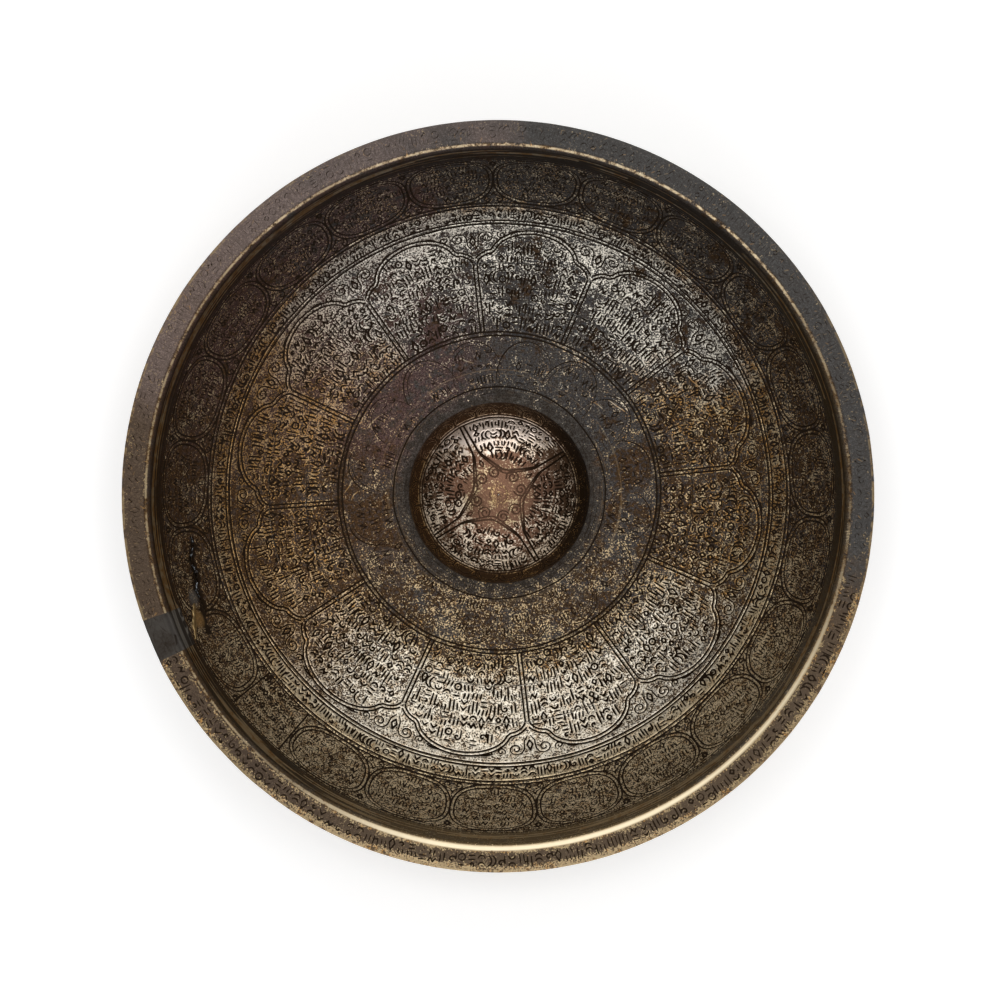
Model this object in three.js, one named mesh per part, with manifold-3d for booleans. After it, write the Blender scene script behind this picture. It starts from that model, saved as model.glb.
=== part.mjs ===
// Engraved brass bowl with a flat rim, a central boss and an old repair at its left side.
// The bowl stands on its base, opens towards +Z, and its axis is the Z axis.
import * as THREE from 'three';
import { mergeVertices } from 'three/addons/utils/BufferGeometryUtils.js';
import Module from 'manifold-3d';

const wasm = await Module();
wasm.setup();

// Driving dimensions of the bowl, in millimetres
const rimRadius = 100;
const bowlHeight = 40;
const rimWidth = 8;
const rimThickness = 2.2;
const rimEdgeRound = 0.6;
const rimUndersideFillet = 2;
const lipWidth = 2.1;
const lipRound = 0.95;
const lipRise = 0.3;
const wallThickness = 1.6;
const baseRadius = 38;

// Shape of the inner curve: a steeper wall and a flatter floor come with higher powers
const wallPower = 4.54;
const floorPower = 1.5;

// Driving dimensions of the boss and what holds it
const bossRadius = 24.7;
const bossHeight = 18;
const bossThickness = 1.5;
const bossFootHeight = 2;
const bossUndercut = 0.7;
const bossSeatLedge = 1;
const solderRingWidth = 2.6;
const solderRingHeight = 0.9;
const solderEdge = 0.2;

// Driving dimensions of the pin at the crown of the boss
const pinRadius = 1.6;
const pinHeadRadius = 2.6;
const pinHeadHeight = 0.5;
const pinHeadEdge = 0.12;

// Old repair: a piece let into the rim, a soldered crack and a brazed run between them
const insertStart = 199.5;
const insertEnd = 205.75;
const insertDepth = 8;
const crackStart = 187.8;
const crackEnd = 199;
const crackDepth = 18.7;
const crackSway = 0.9;
const crackWaves = 2;
const crackWidth = 2;
const crackRise = 0.7;
const brazeStart = 199.6;
const brazeEnd = 205.4;
const brazeDepth = 15.2;
const brazeWidth = 2.8;
const brazeRise = 0.35;
const fillSink = 0.7;

// Clearance between two pieces that meet
const seamGap = 0.3;

// How finely round shapes are divided
const bowlSegments = 88;
const bossSegments = 48;
const pinSegments = 16;
const curveSteps = 13;
const bossSteps = 8;
const rodSides = 8;
const rodSteps = 12;

// Sizes that follow from the driving dimensions
const wallRadius = rimRadius - rimWidth;
const rimTop = bowlHeight - lipRise;
const rimUnderside = rimTop - rimThickness;
const flatShare = (1 - (baseRadius / wallRadius) ** wallPower) ** (1 / floorPower);
const curveDepth = (bowlHeight - wallThickness) / flatShare;
const bossFootRadius = bossRadius - bossUndercut;
const solderOuterRadius = bossRadius + solderRingWidth;
const seatRadius = solderOuterRadius + seamGap;
const floorTop = bowlHeight - innerDepth(seatRadius);
const floorHoleRadius = bossFootRadius - bossThickness - bossSeatLedge;
const pinHoleRadius = pinRadius + seamGap;
const pinLandRadius = pinHeadRadius + seamGap;

const brass = new THREE.MeshStandardMaterial({ color: 0x5c4a2c, roughness: 0.5, metalness: 1 });
const copperyBrass = new THREE.MeshStandardMaterial({ color: 0x6e4a34, roughness: 0.4, metalness: 1 });
const greySolder = new THREE.MeshStandardMaterial({ color: 0x6b665d, roughness: 0.6, metalness: 0.8 });
const insertMetal = new THREE.MeshStandardMaterial({ color: 0x55504c, roughness: 0.5, metalness: 0.9 });
const goldenBraze = new THREE.MeshStandardMaterial({ color: 0x8a6a33, roughness: 0.45, metalness: 1 });

// Depth of the inner surface below the crest of the lip, at a distance from the axis
function innerDepth(radius) {
  return curveDepth * (1 - (radius / wallRadius) ** wallPower) ** (1 / floorPower);
}

// Distance of the inner surface from the axis, at a depth below the crest of the lip
function innerRadius(depth) {
  return wallRadius * (1 - (depth / curveDepth) ** floorPower) ** (1 / wallPower);
}

// Point [radius, height] on the inner curve moved along its normal: into the wall where offset is positive
function curvePoint(angle, offset) {
  const radius = wallRadius * Math.cos(angle) ** (2 / wallPower);
  const depth = curveDepth * Math.sin(angle) ** (2 / floorPower);
  const across = wallPower * (radius / wallRadius) ** (wallPower - 1) / wallRadius;
  const along = floorPower * (depth / curveDepth) ** (floorPower - 1) / curveDepth;
  const length = Math.hypot(across, along);
  return [radius + offset * across / length, bowlHeight - depth - offset * along / length];
}

// Evenly spread angles of the inner curve between two angles, both included
function curveAngles(from, to) {
  return Array.from({ length: curveSteps + 1 }, (_, i) => from + (to - from) * i / curveSteps);
}

// Angle of the inner curve at a depth below the crest of the lip
function angleAtDepth(depth) {
  return Math.asin((depth / curveDepth) ** (floorPower / 2));
}

// Points of an arc in the profile plane, both ends included, angles in degrees
function arc(centreRadius, centreHeight, radius, from, to, steps) {
  return Array.from({ length: steps + 1 }, (_, i) => {
    const angle = THREE.MathUtils.degToRad(from + (to - from) * i / steps);
    return [centreRadius + radius * Math.cos(angle), centreHeight + radius * Math.sin(angle)];
  });
}

// Closed solid from a geometry, with doubled vertices and collapsed faces removed
function solidFrom(geometry) {
  geometry.deleteAttribute('normal');
  geometry.deleteAttribute('uv');
  const merged = mergeVertices(geometry, 1e-4);
  const index = Array.from(merged.index.array);
  const triangles = [];
  for (let i = 0; i < index.length; i += 3) {
    const [a, b, c] = index.slice(i, i + 3);
    if (a !== b && b !== c && c !== a) triangles.push(a, b, c);
  }
  const mesh = new wasm.Mesh({
    numProp: 3,
    vertProperties: new Float32Array(merged.attributes.position.array),
    triVerts: new Uint32Array(triangles),
  });
  return new wasm.Manifold(mesh);
}

// Solid turned about the Z axis from a closed profile of [radius, height], which runs anticlockwise
function revolve(profile, segments) {
  const points = [...profile, profile[0]].map(([radius, height]) => new THREE.Vector2(radius, height));
  return solidFrom(new THREE.LatheGeometry(points, segments).rotateX(Math.PI / 2));
}

// Ring of metal between two offsets from the inner curve, over the whole wall below the lip
function wallLayer(inside, outside) {
  const angles = curveAngles(angleAtDepth(lipRound + seamGap), angleAtDepth(innerDepth(baseRadius)));
  const near = angles.map((angle) => curvePoint(angle, inside));
  const far = angles.map((angle) => curvePoint(angle, outside));
  return revolve([...far.reverse(), ...near], bowlSegments);
}

// Place on the inner surface at an angle round the bowl in degrees and a depth below the lip
function wallPlace(degrees, depth) {
  const angle = THREE.MathUtils.degToRad(degrees);
  const radius = innerRadius(depth);
  return new THREE.Vector3(radius * Math.cos(angle), radius * Math.sin(angle), bowlHeight - depth);
}

// Round rod that follows a curve
function rod(places, radius) {
  const section = new THREE.Shape();
  section.absarc(0, 0, radius, 0, 2 * Math.PI);
  const path = new THREE.CatmullRomCurve3(places);
  return solidFrom(new THREE.ExtrudeGeometry(section, {
    steps: rodSteps,
    curveSegments: rodSides,
    extrudePath: path,
  }));
}

// Outer side of the lip, which falls softly from its crest to the flat rim
function lipFall(crestRadius) {
  const steps = 3;
  const width = wallRadius + lipWidth - crestRadius;
  return Array.from({ length: steps }, (_, i) => {
    const share = (i + 1) / steps;
    return [crestRadius + width * share, rimTop + lipRise * (1 + Math.cos(Math.PI * share)) / 2];
  });
}

// Bowl before the repair: inner curve, lip, flat rim, underside, outer wall and base
function bowlBlank() {
  const filletDepth = bowlHeight - rimUnderside + rimUndersideFillet;
  const innerSide = curveAngles(angleAtDepth(innerDepth(seatRadius)), angleAtDepth(lipRound))
    .map((angle) => curvePoint(angle, 0));
  const outerSide = curveAngles(angleAtDepth(filletDepth), angleAtDepth(innerDepth(baseRadius)))
    .map((angle) => curvePoint(angle, wallThickness));
  const filletFoot = outerSide[0];
  const lipInner = arc(innerRadius(lipRound) + lipRound, bowlHeight - lipRound, lipRound, 180, 90, 4);
  const edge = arc(rimRadius - rimEdgeRound, rimTop - rimEdgeRound, rimEdgeRound, 90, 0, 3);
  const fillet = arc(filletFoot[0] + rimUndersideFillet, filletFoot[1], rimUndersideFillet, 90, 180, 4);
  const profile = [
    [floorHoleRadius, floorTop],
    ...innerSide,
    ...lipInner.slice(1),
    ...lipFall(lipInner.at(-1)[0]),
    ...edge,
    [rimRadius, rimUnderside + rimEdgeRound],
    [rimRadius - rimEdgeRound, rimUnderside],
    ...fillet.slice(0, -1),
    ...outerSide.slice(0, -1),
    [baseRadius, 0],
    [floorHoleRadius, 0],
  ];
  return revolve(profile.reverse(), bowlSegments);
}

// Sector of a ring that reaches through the rim at the repair, grown by a gap on its sides and underneath
function repairSector(gap) {
  const grow = THREE.MathUtils.radToDeg(gap / wallRadius);
  const start = THREE.MathUtils.degToRad(insertStart - grow);
  const end = THREE.MathUtils.degToRad(insertEnd + grow);
  const outline = new THREE.Shape();
  outline.absarc(0, 0, rimRadius + insertDepth, start, end, false);
  outline.absarc(0, 0, wallRadius - insertDepth, end, start, true);
  const height = insertDepth + gap;
  const sector = new THREE.ExtrudeGeometry(outline, { depth: 2 * height, bevelEnabled: false, curveSegments: 4 });
  return solidFrom(sector.translate(0, 0, bowlHeight - height));
}

// Row of places with both ends moved outwards by a gap
function lengthened(places, gap) {
  const first = places[0].clone().sub(places[1]).setLength(gap).add(places[0]);
  const end = places.at(-1);
  const last = end.clone().sub(places.at(-2)).setLength(gap).add(end);
  return [first, ...places.slice(1, -1), last];
}

// Places along the crack, which wanders up the wall as it goes round
function crackPlaces() {
  const count = 9;
  return Array.from({ length: count }, (_, i) => {
    const share = i / (count - 1);
    const wander = 1 - 2 * share + Math.sin(2 * Math.PI * crackWaves * share) / 2;
    return wallPlace(crackStart + (crackEnd - crackStart) * share, crackDepth + crackSway * wander);
  });
}

// Places along the brazed run, from beside the crack up to just below the rim insert
function brazePlaces() {
  const count = 5;
  const topDepth = insertDepth + seamGap + brazeWidth / 2;
  return Array.from({ length: count }, (_, i) => {
    const share = i / (count - 1);
    return wallPlace(brazeStart + (brazeEnd - brazeStart) * share, brazeDepth + (topDepth - brazeDepth) * share);
  });
}

// Filler metal that lies in a groove of the wall and stands a little proud of it
function filler(places, width, rise) {
  return rod(places, width / 2).intersect(wallLayer(-rise, fillSink));
}

// Groove that holds a filler with a gap all round
function groove(places, width) {
  return rod(lengthened(places, seamGap), width / 2 + seamGap).intersect(wallLayer(-width, fillSink + seamGap));
}

// Bowl with its rim cut away for the insert and its wall grooved for the crack and the braze
function bowlBody() {
  return bowlBlank()
    .subtract(repairSector(seamGap))
    .subtract(groove(crackPlaces(), crackWidth))
    .subtract(groove(brazePlaces(), brazeWidth));
}

// Side of the boss from its narrower foot to its widest place, moved inwards by an inset
function bossSide(inset) {
  const steps = 3;
  return Array.from({ length: steps }, (_, i) => {
    const share = i / steps;
    const bulge = bossUndercut * Math.sin(share * Math.PI / 2);
    return [bossFootRadius - inset + bulge, floorTop + bossFootHeight * share];
  });
}

// Dome of the boss from its widest place up to the land round the pin, moved inwards by an inset
function bossDome(inset) {
  const across = bossRadius - inset;
  const high = bossHeight - bossFootHeight - inset;
  const landAngle = Math.acos(pinLandRadius / across);
  return Array.from({ length: bossSteps + 1 }, (_, i) => {
    const angle = landAngle * i / bossSteps;
    return [across * Math.cos(angle), floorTop + bossFootHeight + high * Math.sin(angle)];
  });
}

// Height of the flat land round the pin, on a surface moved inwards by an inset
function landHeight(inset) {
  return bossDome(inset).at(-1)[1];
}

// Hollow dome, open below over the hole in the bowl's floor
function centralBoss() {
  const outer = [...bossSide(0), ...bossDome(0)];
  const inner = [...bossSide(bossThickness), ...bossDome(bossThickness)];
  const hole = [[pinHoleRadius, landHeight(0)], [pinHoleRadius, landHeight(bossThickness)]];
  return revolve([...outer, ...hole, ...inner.reverse()], bossSegments);
}

// Fillet of solder between the floor and the foot of the boss
function bossSolderRing() {
  const inner = bossSide(-seamGap).map(([radius]) => radius);
  const topRadius = inner.at(-1);
  const steps = 5;
  const slope = Array.from({ length: steps + 1 }, (_, i) => {
    const angle = i / steps * Math.PI / 2;
    return [
      solderOuterRadius - (solderOuterRadius - topRadius) * Math.sin(angle),
      floorTop + solderEdge + (solderRingHeight - solderEdge) * (1 - Math.cos(angle)),
    ];
  });
  return revolve([[inner[0], floorTop], [solderOuterRadius, floorTop], ...slope], bossSegments);
}

// Pin through the crown of the boss with a low domed head on both sides
function bossPin() {
  const steps = 4;
  const dome = Array.from({ length: steps + 1 }, (_, i) => {
    const angle = i / steps * Math.PI / 2;
    return [pinHeadRadius * Math.cos(angle), pinHeadEdge + (pinHeadHeight - pinHeadEdge) * Math.sin(angle)];
  });
  dome.at(-1)[0] = 0;
  const top = landHeight(0);
  const under = landHeight(bossThickness);
  const lowerHead = dome.map(([radius, height]) => [radius, under - height]).reverse();
  const upperHead = dome.map(([radius, height]) => [radius, top + height]);
  const shank = [[pinHeadRadius, under], [pinRadius, under], [pinRadius, top], [pinHeadRadius, top]];
  return revolve([...lowerHead, ...shank, ...upperHead], pinSegments);
}

// Named mesh from a closed solid
function piece(name, solid, material) {
  const { vertProperties, triVerts } = solid.getMesh();
  const geometry = new THREE.BufferGeometry();
  geometry.setAttribute('position', new THREE.BufferAttribute(vertProperties, 3));
  geometry.setIndex(new THREE.BufferAttribute(triVerts, 1));
  geometry.computeVertexNormals();
  const mesh = new THREE.Mesh(geometry, material);
  mesh.name = name;
  return mesh;
}

const bowl = new THREE.Group();
bowl.add(
  piece('bowl_body', bowlBody(), brass),
  piece('central_boss', centralBoss(), copperyBrass),
  piece('boss_solder_ring', bossSolderRing(), greySolder),
  piece('boss_pin', bossPin(), brass),
  piece('rim_insert', bowlBlank().intersect(repairSector(0)), insertMetal),
  piece('crack_solder', filler(crackPlaces(), crackWidth, crackRise), greySolder),
  piece('braze_fill', filler(brazePlaces(), brazeWidth, brazeRise), goldenBraze),
);

export default bowl;
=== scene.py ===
"""Looks of an engraved brass bowl with a central boss and an old repair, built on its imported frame."""

import math
import random

import bpy
import numpy as np
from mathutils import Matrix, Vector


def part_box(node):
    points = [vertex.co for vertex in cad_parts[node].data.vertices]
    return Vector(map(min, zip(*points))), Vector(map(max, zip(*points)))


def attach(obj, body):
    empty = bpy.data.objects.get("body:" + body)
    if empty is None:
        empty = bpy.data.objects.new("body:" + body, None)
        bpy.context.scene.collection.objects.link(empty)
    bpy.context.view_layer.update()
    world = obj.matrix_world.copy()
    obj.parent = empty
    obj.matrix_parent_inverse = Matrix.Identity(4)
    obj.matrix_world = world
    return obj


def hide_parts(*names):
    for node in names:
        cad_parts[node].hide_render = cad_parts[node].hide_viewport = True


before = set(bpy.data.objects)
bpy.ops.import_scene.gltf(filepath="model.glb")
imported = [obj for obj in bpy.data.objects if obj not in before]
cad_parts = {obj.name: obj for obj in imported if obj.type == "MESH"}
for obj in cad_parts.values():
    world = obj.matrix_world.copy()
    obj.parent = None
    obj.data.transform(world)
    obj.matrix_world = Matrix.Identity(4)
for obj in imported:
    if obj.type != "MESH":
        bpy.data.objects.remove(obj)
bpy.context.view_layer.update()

bl_info = {
    "name": "Engraved Bowl",
    "version": (1, 0, 0),
    "blender": (4, 5, 0),
    "location": "3D View > Sidebar > Bowl",
    "description": "Builds the engraved bowl, its boss, its old repair and its studio",
    "category": "Object",
}

# Metres in a millimetre, in which the sections and the engraving are worked out
MM = 0.001

# The frame gives the outer sizes of the pieces, in metres
BOWL_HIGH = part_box("bowl_body")[1]
BOSS_LOW, BOSS_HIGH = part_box("central_boss")
SOLDER_LOW, SOLDER_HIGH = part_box("boss_solder_ring")
PIN_LOW, PIN_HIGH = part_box("boss_pin")

# Old repair, in degrees round the bowl and millimetres of depth below the lip
INSERT_START = 199.5
INSERT_END = 205.75
INSERT_DEPTH = 8.0
CRACK_START = 187.8
CRACK_END = 199.0
CRACK_DEPTH = 18.7
CRACK_SWAY = 0.9
CRACK_WAVES = 2
BRAZE_START = 199.6
BRAZE_END = 205.4
BRAZE_DEPTH = 15.2
BRAZE_WIDTH = 2.8

# Gap round a piece that is let in, and how far the insert reaches beyond it to close its seam
SEAM_GAP = 0.3
SOLDERED = 0.25

# Lumpy beads of filler: sides of their section, waves of their lumps and how deep they sink into the wall
BEAD_SIDES = 20
BEAD_WAVES = 6
BEAD_SINK = 0.4

# Places of the engraved lines of the bowl, as distances from the axis in millimetres
TOP_LINE = 89.6
BAND_TOP = 77.9
BAND_FOOT = 73.3
ARCH_APEX = 70.6
ARCH_CUSP = 65.2
SPRINGING = 62.4
PANEL_FOOT = 43.3
FLOOR_LINE = 28.6

# Distance between the two lines of a border, and the width of the small lobe at each end of an arch
LINE_PITCH = 1.05
SHOULDER = 4.4

# Gaps between the rings of lines and the roundels or panels beside them
ROUNDEL_GAP = 0.65
PANEL_GAP = 0.6

# The twelve panels are laid out by hand, so their dividers aren't quite even, in degrees
DIVIDERS = (6.5, 38, 67, 96, 124.75, 154, 183.5, 213, 245.5, 277, 306.5, 336.5)

# Roundels of the wall: how many, and the start of the first and their pitch in degrees
ROUNDEL_COUNT = 22
ROUNDEL_START = 229.5
ROUNDEL_PITCH = 15.82

# Power of the curve that rounds the corners of a roundel
ROUNDEL_POWER = 2.6

# Worn arcs on the floor round the boss
ARC_COUNT = 16

# Rows of marks: their height and pitch in the panels, in the roundels and in the narrow band
ROW_TALL = 4.0
ROW_PITCH = 4.2
FINE_TALL = 2.1
FINE_PITCH = 2.55
BAND_TALL = 3.3

# Half widths of the cut lines, of the marks and of the stray scratches, in millimetres
LINE_CUT = 0.26
MARK_CUT = 0.275
FINE_CUT = 0.22
RIM_CUT = 0.24
BOSS_CUT = 0.27
FAINT_CUT = 0.2
DIM_CUT = 0.18
WORN_CUT = 0.13
SCRATCH_CUT = 0.12

# Longest straight piece of a cut line, in millimetres
LINE_STEP = 1.2

# Places along the open crack
CRACK_PLACES = 40

# Cuts along the open crack: first and last of its places, distance beside it, half width and taper
CRACK_CUTS = (
    (0, 40, 0.0, 0.4, 0.2),
    (0, 40, -0.7, 0.4, 0.3),
    (2, 34, 0.45, 0.38, 0.5),
    (3, 40, -1.35, 0.38, 0.4),
    (6, 26, 0.85, 0.38, 0.6),
)

# Turned scratches under the lip: their depths below it, and how many arcs each has
TURNED_DEPTHS = (1.3, 1.9, 2.3, 2.8, 3.3, 3.8, 4.4, 4.9, 5.6, 6.8)
TURNED_ARCS = 6

# Long scratches at the old repair: start and end in degrees, depth at the start and at the end
REPAIR_SCRATCHES = ((196.5, 204.5, 6.2, 9.6), (197.4, 203.8, 7.0, 10.6), (198.2, 204.8, 6.6, 8.2))

# Marks of the rim: gaps beside the lip, the edge and the insert, and the angle past which they are worn
LIP_GAP = 0.55
EDGE_GAP = 1.0
INSERT_GAP = 0.4
RIM_WORN_FROM = -12

# Stray scratches of the rim: how many, and the distances from the axis between which they lie
RIM_SCRATCHES = 320
RIM_SCRATCH_START = 94.6
RIM_SCRATCH_END = 98.8

# Fields of the boss: their dividers in degrees
BOSS_DIVIDERS = (32, 119, 214, 300)

# Places of the engraved lines of the boss, as distances from the axis in millimetres
BOSS_FOOT_LINE = 24.6
SCALLOP_LINE = 23.2
BOSS_LINE = 21.3
BOSS_ARM = 13.6
BOSS_BUD = 9.4
BOSS_CUSP = 7.0
BOSS_SCROLL = 6.1

# Scallops round the foot of the boss
SCALLOPS = 22

# Smaller sizes of the section, in millimetres
LIP_ROUND = 0.95
EDGE_ROUND = 0.6
UNDER_FILLET = 2.0
FLOOR_HOLE = 21.5

# Wall for the engraving: distances from the axis where it starts and where its points go by depth
SIDE_START = 26.0
SIDE_TURN = 84.0

# Depth below the lip at which the wall for the engraving ends
SIDE_TOP = 0.6

# Solder ring: how far it goes under the boss and into the floor, and the thickness of its thin edge
SOLDER_UNDER = 0.75
SOLDER_SINK = 0.3
SOLDER_EDGE = 0.12

# Pin: its hole in the boss, the bore left at its axis, the slant of its lower head, the edge of its upper one
PIN_HOLE = 1.9
PIN_BORE = 0.05
PIN_SLANT = 0.3
PIN_EDGE = 0.1

# Seams between the rings of the wall: a depth below the lip and distances from the axis
SEAM_DEPTH = 8.3
MEDALLION_SEAM = 84.6
OUTER_SEAM = 62.5
INNER_SEAM = 52.5

# Columns of the rim and size of the rows of the steep wall, against those of an even surface
RIM_COARSE = 0.73
WALL_COARSE = 1.2

# Distance between two rows of the plain outside, and the way over half of the boss, in millimetres
OUTSIDE_ROW = 3.0
BOSS_WAY = 34

# Columns of the pieces that need no fine surface
PIN_COLUMNS = 80
INSERT_COLUMNS = 44

# Height up to which the base isn't dented and the rise over which the dents begin, in millimetres
BASE_FLAT = 0.5
DENT_RISE = 3

# How many times deeper the insert is dented than the bowl
INSERT_DENTS = 1.5

# Edges that bend by more degrees than this stay sharp
SHARP_CORNER = 42

# Stored value far from any cut line, in square millimetres, and the gap in metres at which points are joined
FAR_VALUE = -0.3
JOIN_GAP = 1e-6

# Seeds of the random draws
WALL_SEED, RIM_SEED, BOSS_SEED, SOLDER_SEED, INSERT_SEED = range(11, 16)
CRACK_SEED, BRAZE_SEED, SCRATCH_SEED, PIN_SEED = range(16, 20)

# Camera: the bowl's rim fills the same part of the picture as in the photograph
CAMERA_SENSOR = 36
CAMERA_DISTANCE = 1.5
CAMERA_LENS = 203.65
CAMERA_LEAN = 0.030
CAMERA_SIDE = 0.012
CAMERA_SHIFT = (0.0023, -0.0029)
CAMERA_REACH = 20

# Studio: lamps as (name, place, size, power, tint), in metres and watts
LAMPS = (
    ("key_softbox", (0.08, 0.85, 1.05), (1.3, 0.7), 4.8, (1.0, 0.98, 0.94)),
    ("fill_softbox", (0.0, -0.95, 1.15), (1.5, 0.45), 5.4, (0.95, 0.97, 1.0)),
    ("top_softbox_east", (0.34, 0.3, 1.9), (0.45, 0.45), 3.2, (1.0, 1.0, 1.0)),
    ("top_softbox_west", (-0.34, 0.3, 1.9), (0.45, 0.45), 3.2, (1.0, 1.0, 1.0)),
)

# Light from all round and its colour
WORLD_LEVEL = 0.4
WHITE = (1, 1, 1)

# Floor of the studio: how much it glows, its size, its corners and how far it lies under the bowl
FLOOR_GLOW = 0.42
FLOOR_RADIUS = 6.0
FLOOR_CORNERS = 64
FLOOR_DROP = 0.00005

# Linear colours of the bare solder in the crack and of the scratches in dull metal
BRIGHT_SOLDER = (0.34, 0.37, 0.41)
SCRATCH_TINT = (0.4, 0.38, 0.34)

# Zones of the bowl by distance from the axis: where each begins, is whole, begins to fade and ends
PANEL_ZONE = (38.0, 56.0, 73.5, 79.0)
STRIP_ZONE = (72.5, 74.0, 77.0, 78.5)
WALL_ZONE = (74.0, 81.0, 89.6, 90.4)
COLLAR_ZONE = (89.6, 90.3, 92.7, 93.2)

# Distance of the crest of the lip from the axis
CREST = 93.45

# Thin smears of solder and braze on the wall: degrees, distance from the axis, half length round, half width
SOLDER_SMEAR = (198.6, 86.3, 3.0, 1.3)
BRAZE_SMEAR = (202.4, 87.0, 3.4, 1.5)

# Depth of the fine relief of the engraved and of the plain metals, in metres
ENGRAVED_GRAIN = 0.00004
PLAIN_GRAIN = 0.00005


def described(kind, name, text, default, **more):
    """One property of a group, with its name, description and default."""
    return kind(name=name, description=text, default=default, **more)


def length(name, text, default):
    """A length in metres."""
    kind = bpy.props.FloatProperty
    return described(kind, name, text, default, unit="LENGTH", subtype="DISTANCE", precision=5)


def number(name, text, default):
    """A plain number."""
    return described(bpy.props.FloatProperty, name, text, default)


def colour(name, text, default):
    """A linear colour."""
    kind = bpy.props.FloatVectorProperty
    return described(kind, name, text, default, subtype="COLOR", size=3, min=0, max=1)


class BowlSizes(bpy.types.PropertyGroup):
    """Sizes of the bowl and of its engraving."""

    rim_radius: length("Rim Radius", "Distance of the outer edge from the axis", BOWL_HIGH.x)
    height: length("Height", "Height of the lip above the ground", BOWL_HIGH.z)
    rim_width: length("Rim Width", "Width of the lip and the flat rim together", 0.008)
    rim_thickness: length("Rim Thickness", "Thickness of the flat rim", 0.0022)
    lip_width: length("Lip Width", "Width of the raised lip", 0.0021)
    lip_rise: length("Lip Rise", "Height of the lip above the flat rim", 0.0003)
    wall_thickness: length("Wall Thickness", "Thickness of the wall", 0.0016)
    base_radius: length("Base Radius", "Radius of the flat base", 0.038)
    wall_power: number("Wall Power", "A higher power makes the wall steeper", 4.54)
    floor_power: number("Floor Power", "A higher power makes the floor flatter", 1.5)
    boss_thickness: length("Boss Thickness", "Thickness of the boss", 0.0015)
    boss_foot: length("Boss Foot Height", "Height of the widest place of the boss above its foot", 0.002)
    boss_undercut: length("Boss Undercut", "How far the boss draws in towards its foot", 0.0007)
    cut_reach: length("Cut Reach", "Half width of the widest cut line", 0.0004)
    cut_depth: number("Cut Depth", "Depth of a cut line as a share of its half width", 0.75)
    dent_depth: length("Dent Depth", "Depth of the hammered unevenness", 0.00022)
    dent_size: length("Dent Size", "Width of the hammered unevenness", 0.012)
    grain: number("Grain", "Distance between two points of the surface, in millimetres", 0.26)


class BowlColours(bpy.types.PropertyGroup):
    """Colours of the metals and of their patina."""

    brown: colour("Brown Patina", "Dark brown patina of the wall", (0.078, 0.044, 0.021))
    slate: colour("Slate Patina", "Cool grey patina in patches", (0.092, 0.09, 0.088))
    plum: colour("Plum Patina", "Reddish purple patina", (0.145, 0.082, 0.078))
    soot: colour("Soot", "Dirt in the cut lines", (0.016, 0.009, 0.004))
    steel: colour("Steel Patina", "Bluish grains of the patina", (0.07, 0.083, 0.1))
    olive: colour("Rim Patina", "Brown patina of the rim", (0.135, 0.09, 0.058))
    stain: colour("Stain", "Olive brown stain on the rim", (0.25, 0.18, 0.09))
    ochre: colour("Stained Brass", "Brass under a thin brown stain", (0.43, 0.23, 0.07))
    gold: colour("Worn Brass", "Brass where wear has bared it", (0.61, 0.46, 0.265))
    # Light tint that also paints a sheen on the worn brass of the panels and on the upper left of the rim
    pale: colour("Rubbed Brass", "Silvery tint of rubbed brass", (0.80, 0.74, 0.63))
    # Also paints the highlight on the crest of the lip, on the lower wall and on the lower half of the boss
    polish: colour("Polished Brass", "Brass on the crest of the lip", (0.93, 0.80, 0.56))
    # Also paints the highlight on the top of the boss
    blush: colour("Rubbed Boss", "Pinkish tint of the rubbed boss", (0.88, 0.75, 0.66))
    copper: colour("Boss Brass", "Coppery brown of the boss", (0.25, 0.13, 0.08))
    rust: colour("Rust Patina", "Orange brown patina in patches and on the boss", (0.13, 0.06, 0.022))
    solder: colour("Solder", "Dull grey solder", (0.115, 0.105, 0.095))
    insert: colour("Insert Metal", "Plain dark metal of the piece in the rim", (0.056, 0.049, 0.042))
    braze: colour("Braze", "Golden brown brazing metal", (0.26, 0.15, 0.055))
    floor: colour("Floor", "Pale studio floor", (0.85, 0.85, 0.85))


class Wire:
    """A socket's value in a node tree. Arithmetic on it adds Math nodes."""

    def __init__(self, net, socket):
        self.net = net
        self.socket = socket

    def __add__(self, other):
        return self.net.math("ADD", self, other)

    def __radd__(self, other):
        return self.net.math("ADD", other, self)

    def __sub__(self, other):
        return self.net.math("SUBTRACT", self, other)

    def __rsub__(self, other):
        return self.net.math("SUBTRACT", other, self)

    def __mul__(self, other):
        return self.net.math("MULTIPLY", self, other)

    def __rmul__(self, other):
        return self.net.math("MULTIPLY", other, self)

    def __truediv__(self, other):
        return self.net.math("DIVIDE", self, other)

    def __rtruediv__(self, other):
        return self.net.math("DIVIDE", other, self)

    def __pow__(self, other):
        return self.net.math("POWER", self, other)

    def __gt__(self, other):
        return self.net.math("GREATER_THAN", self, other)

    def __lt__(self, other):
        return self.net.math("LESS_THAN", self, other)


def socket_named(sockets, key):
    """The socket in use at an index or with a name."""
    if isinstance(key, int):
        return sockets[key]
    return next(s for s in sockets if s.enabled and key in (s.name, s.identifier))


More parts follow.
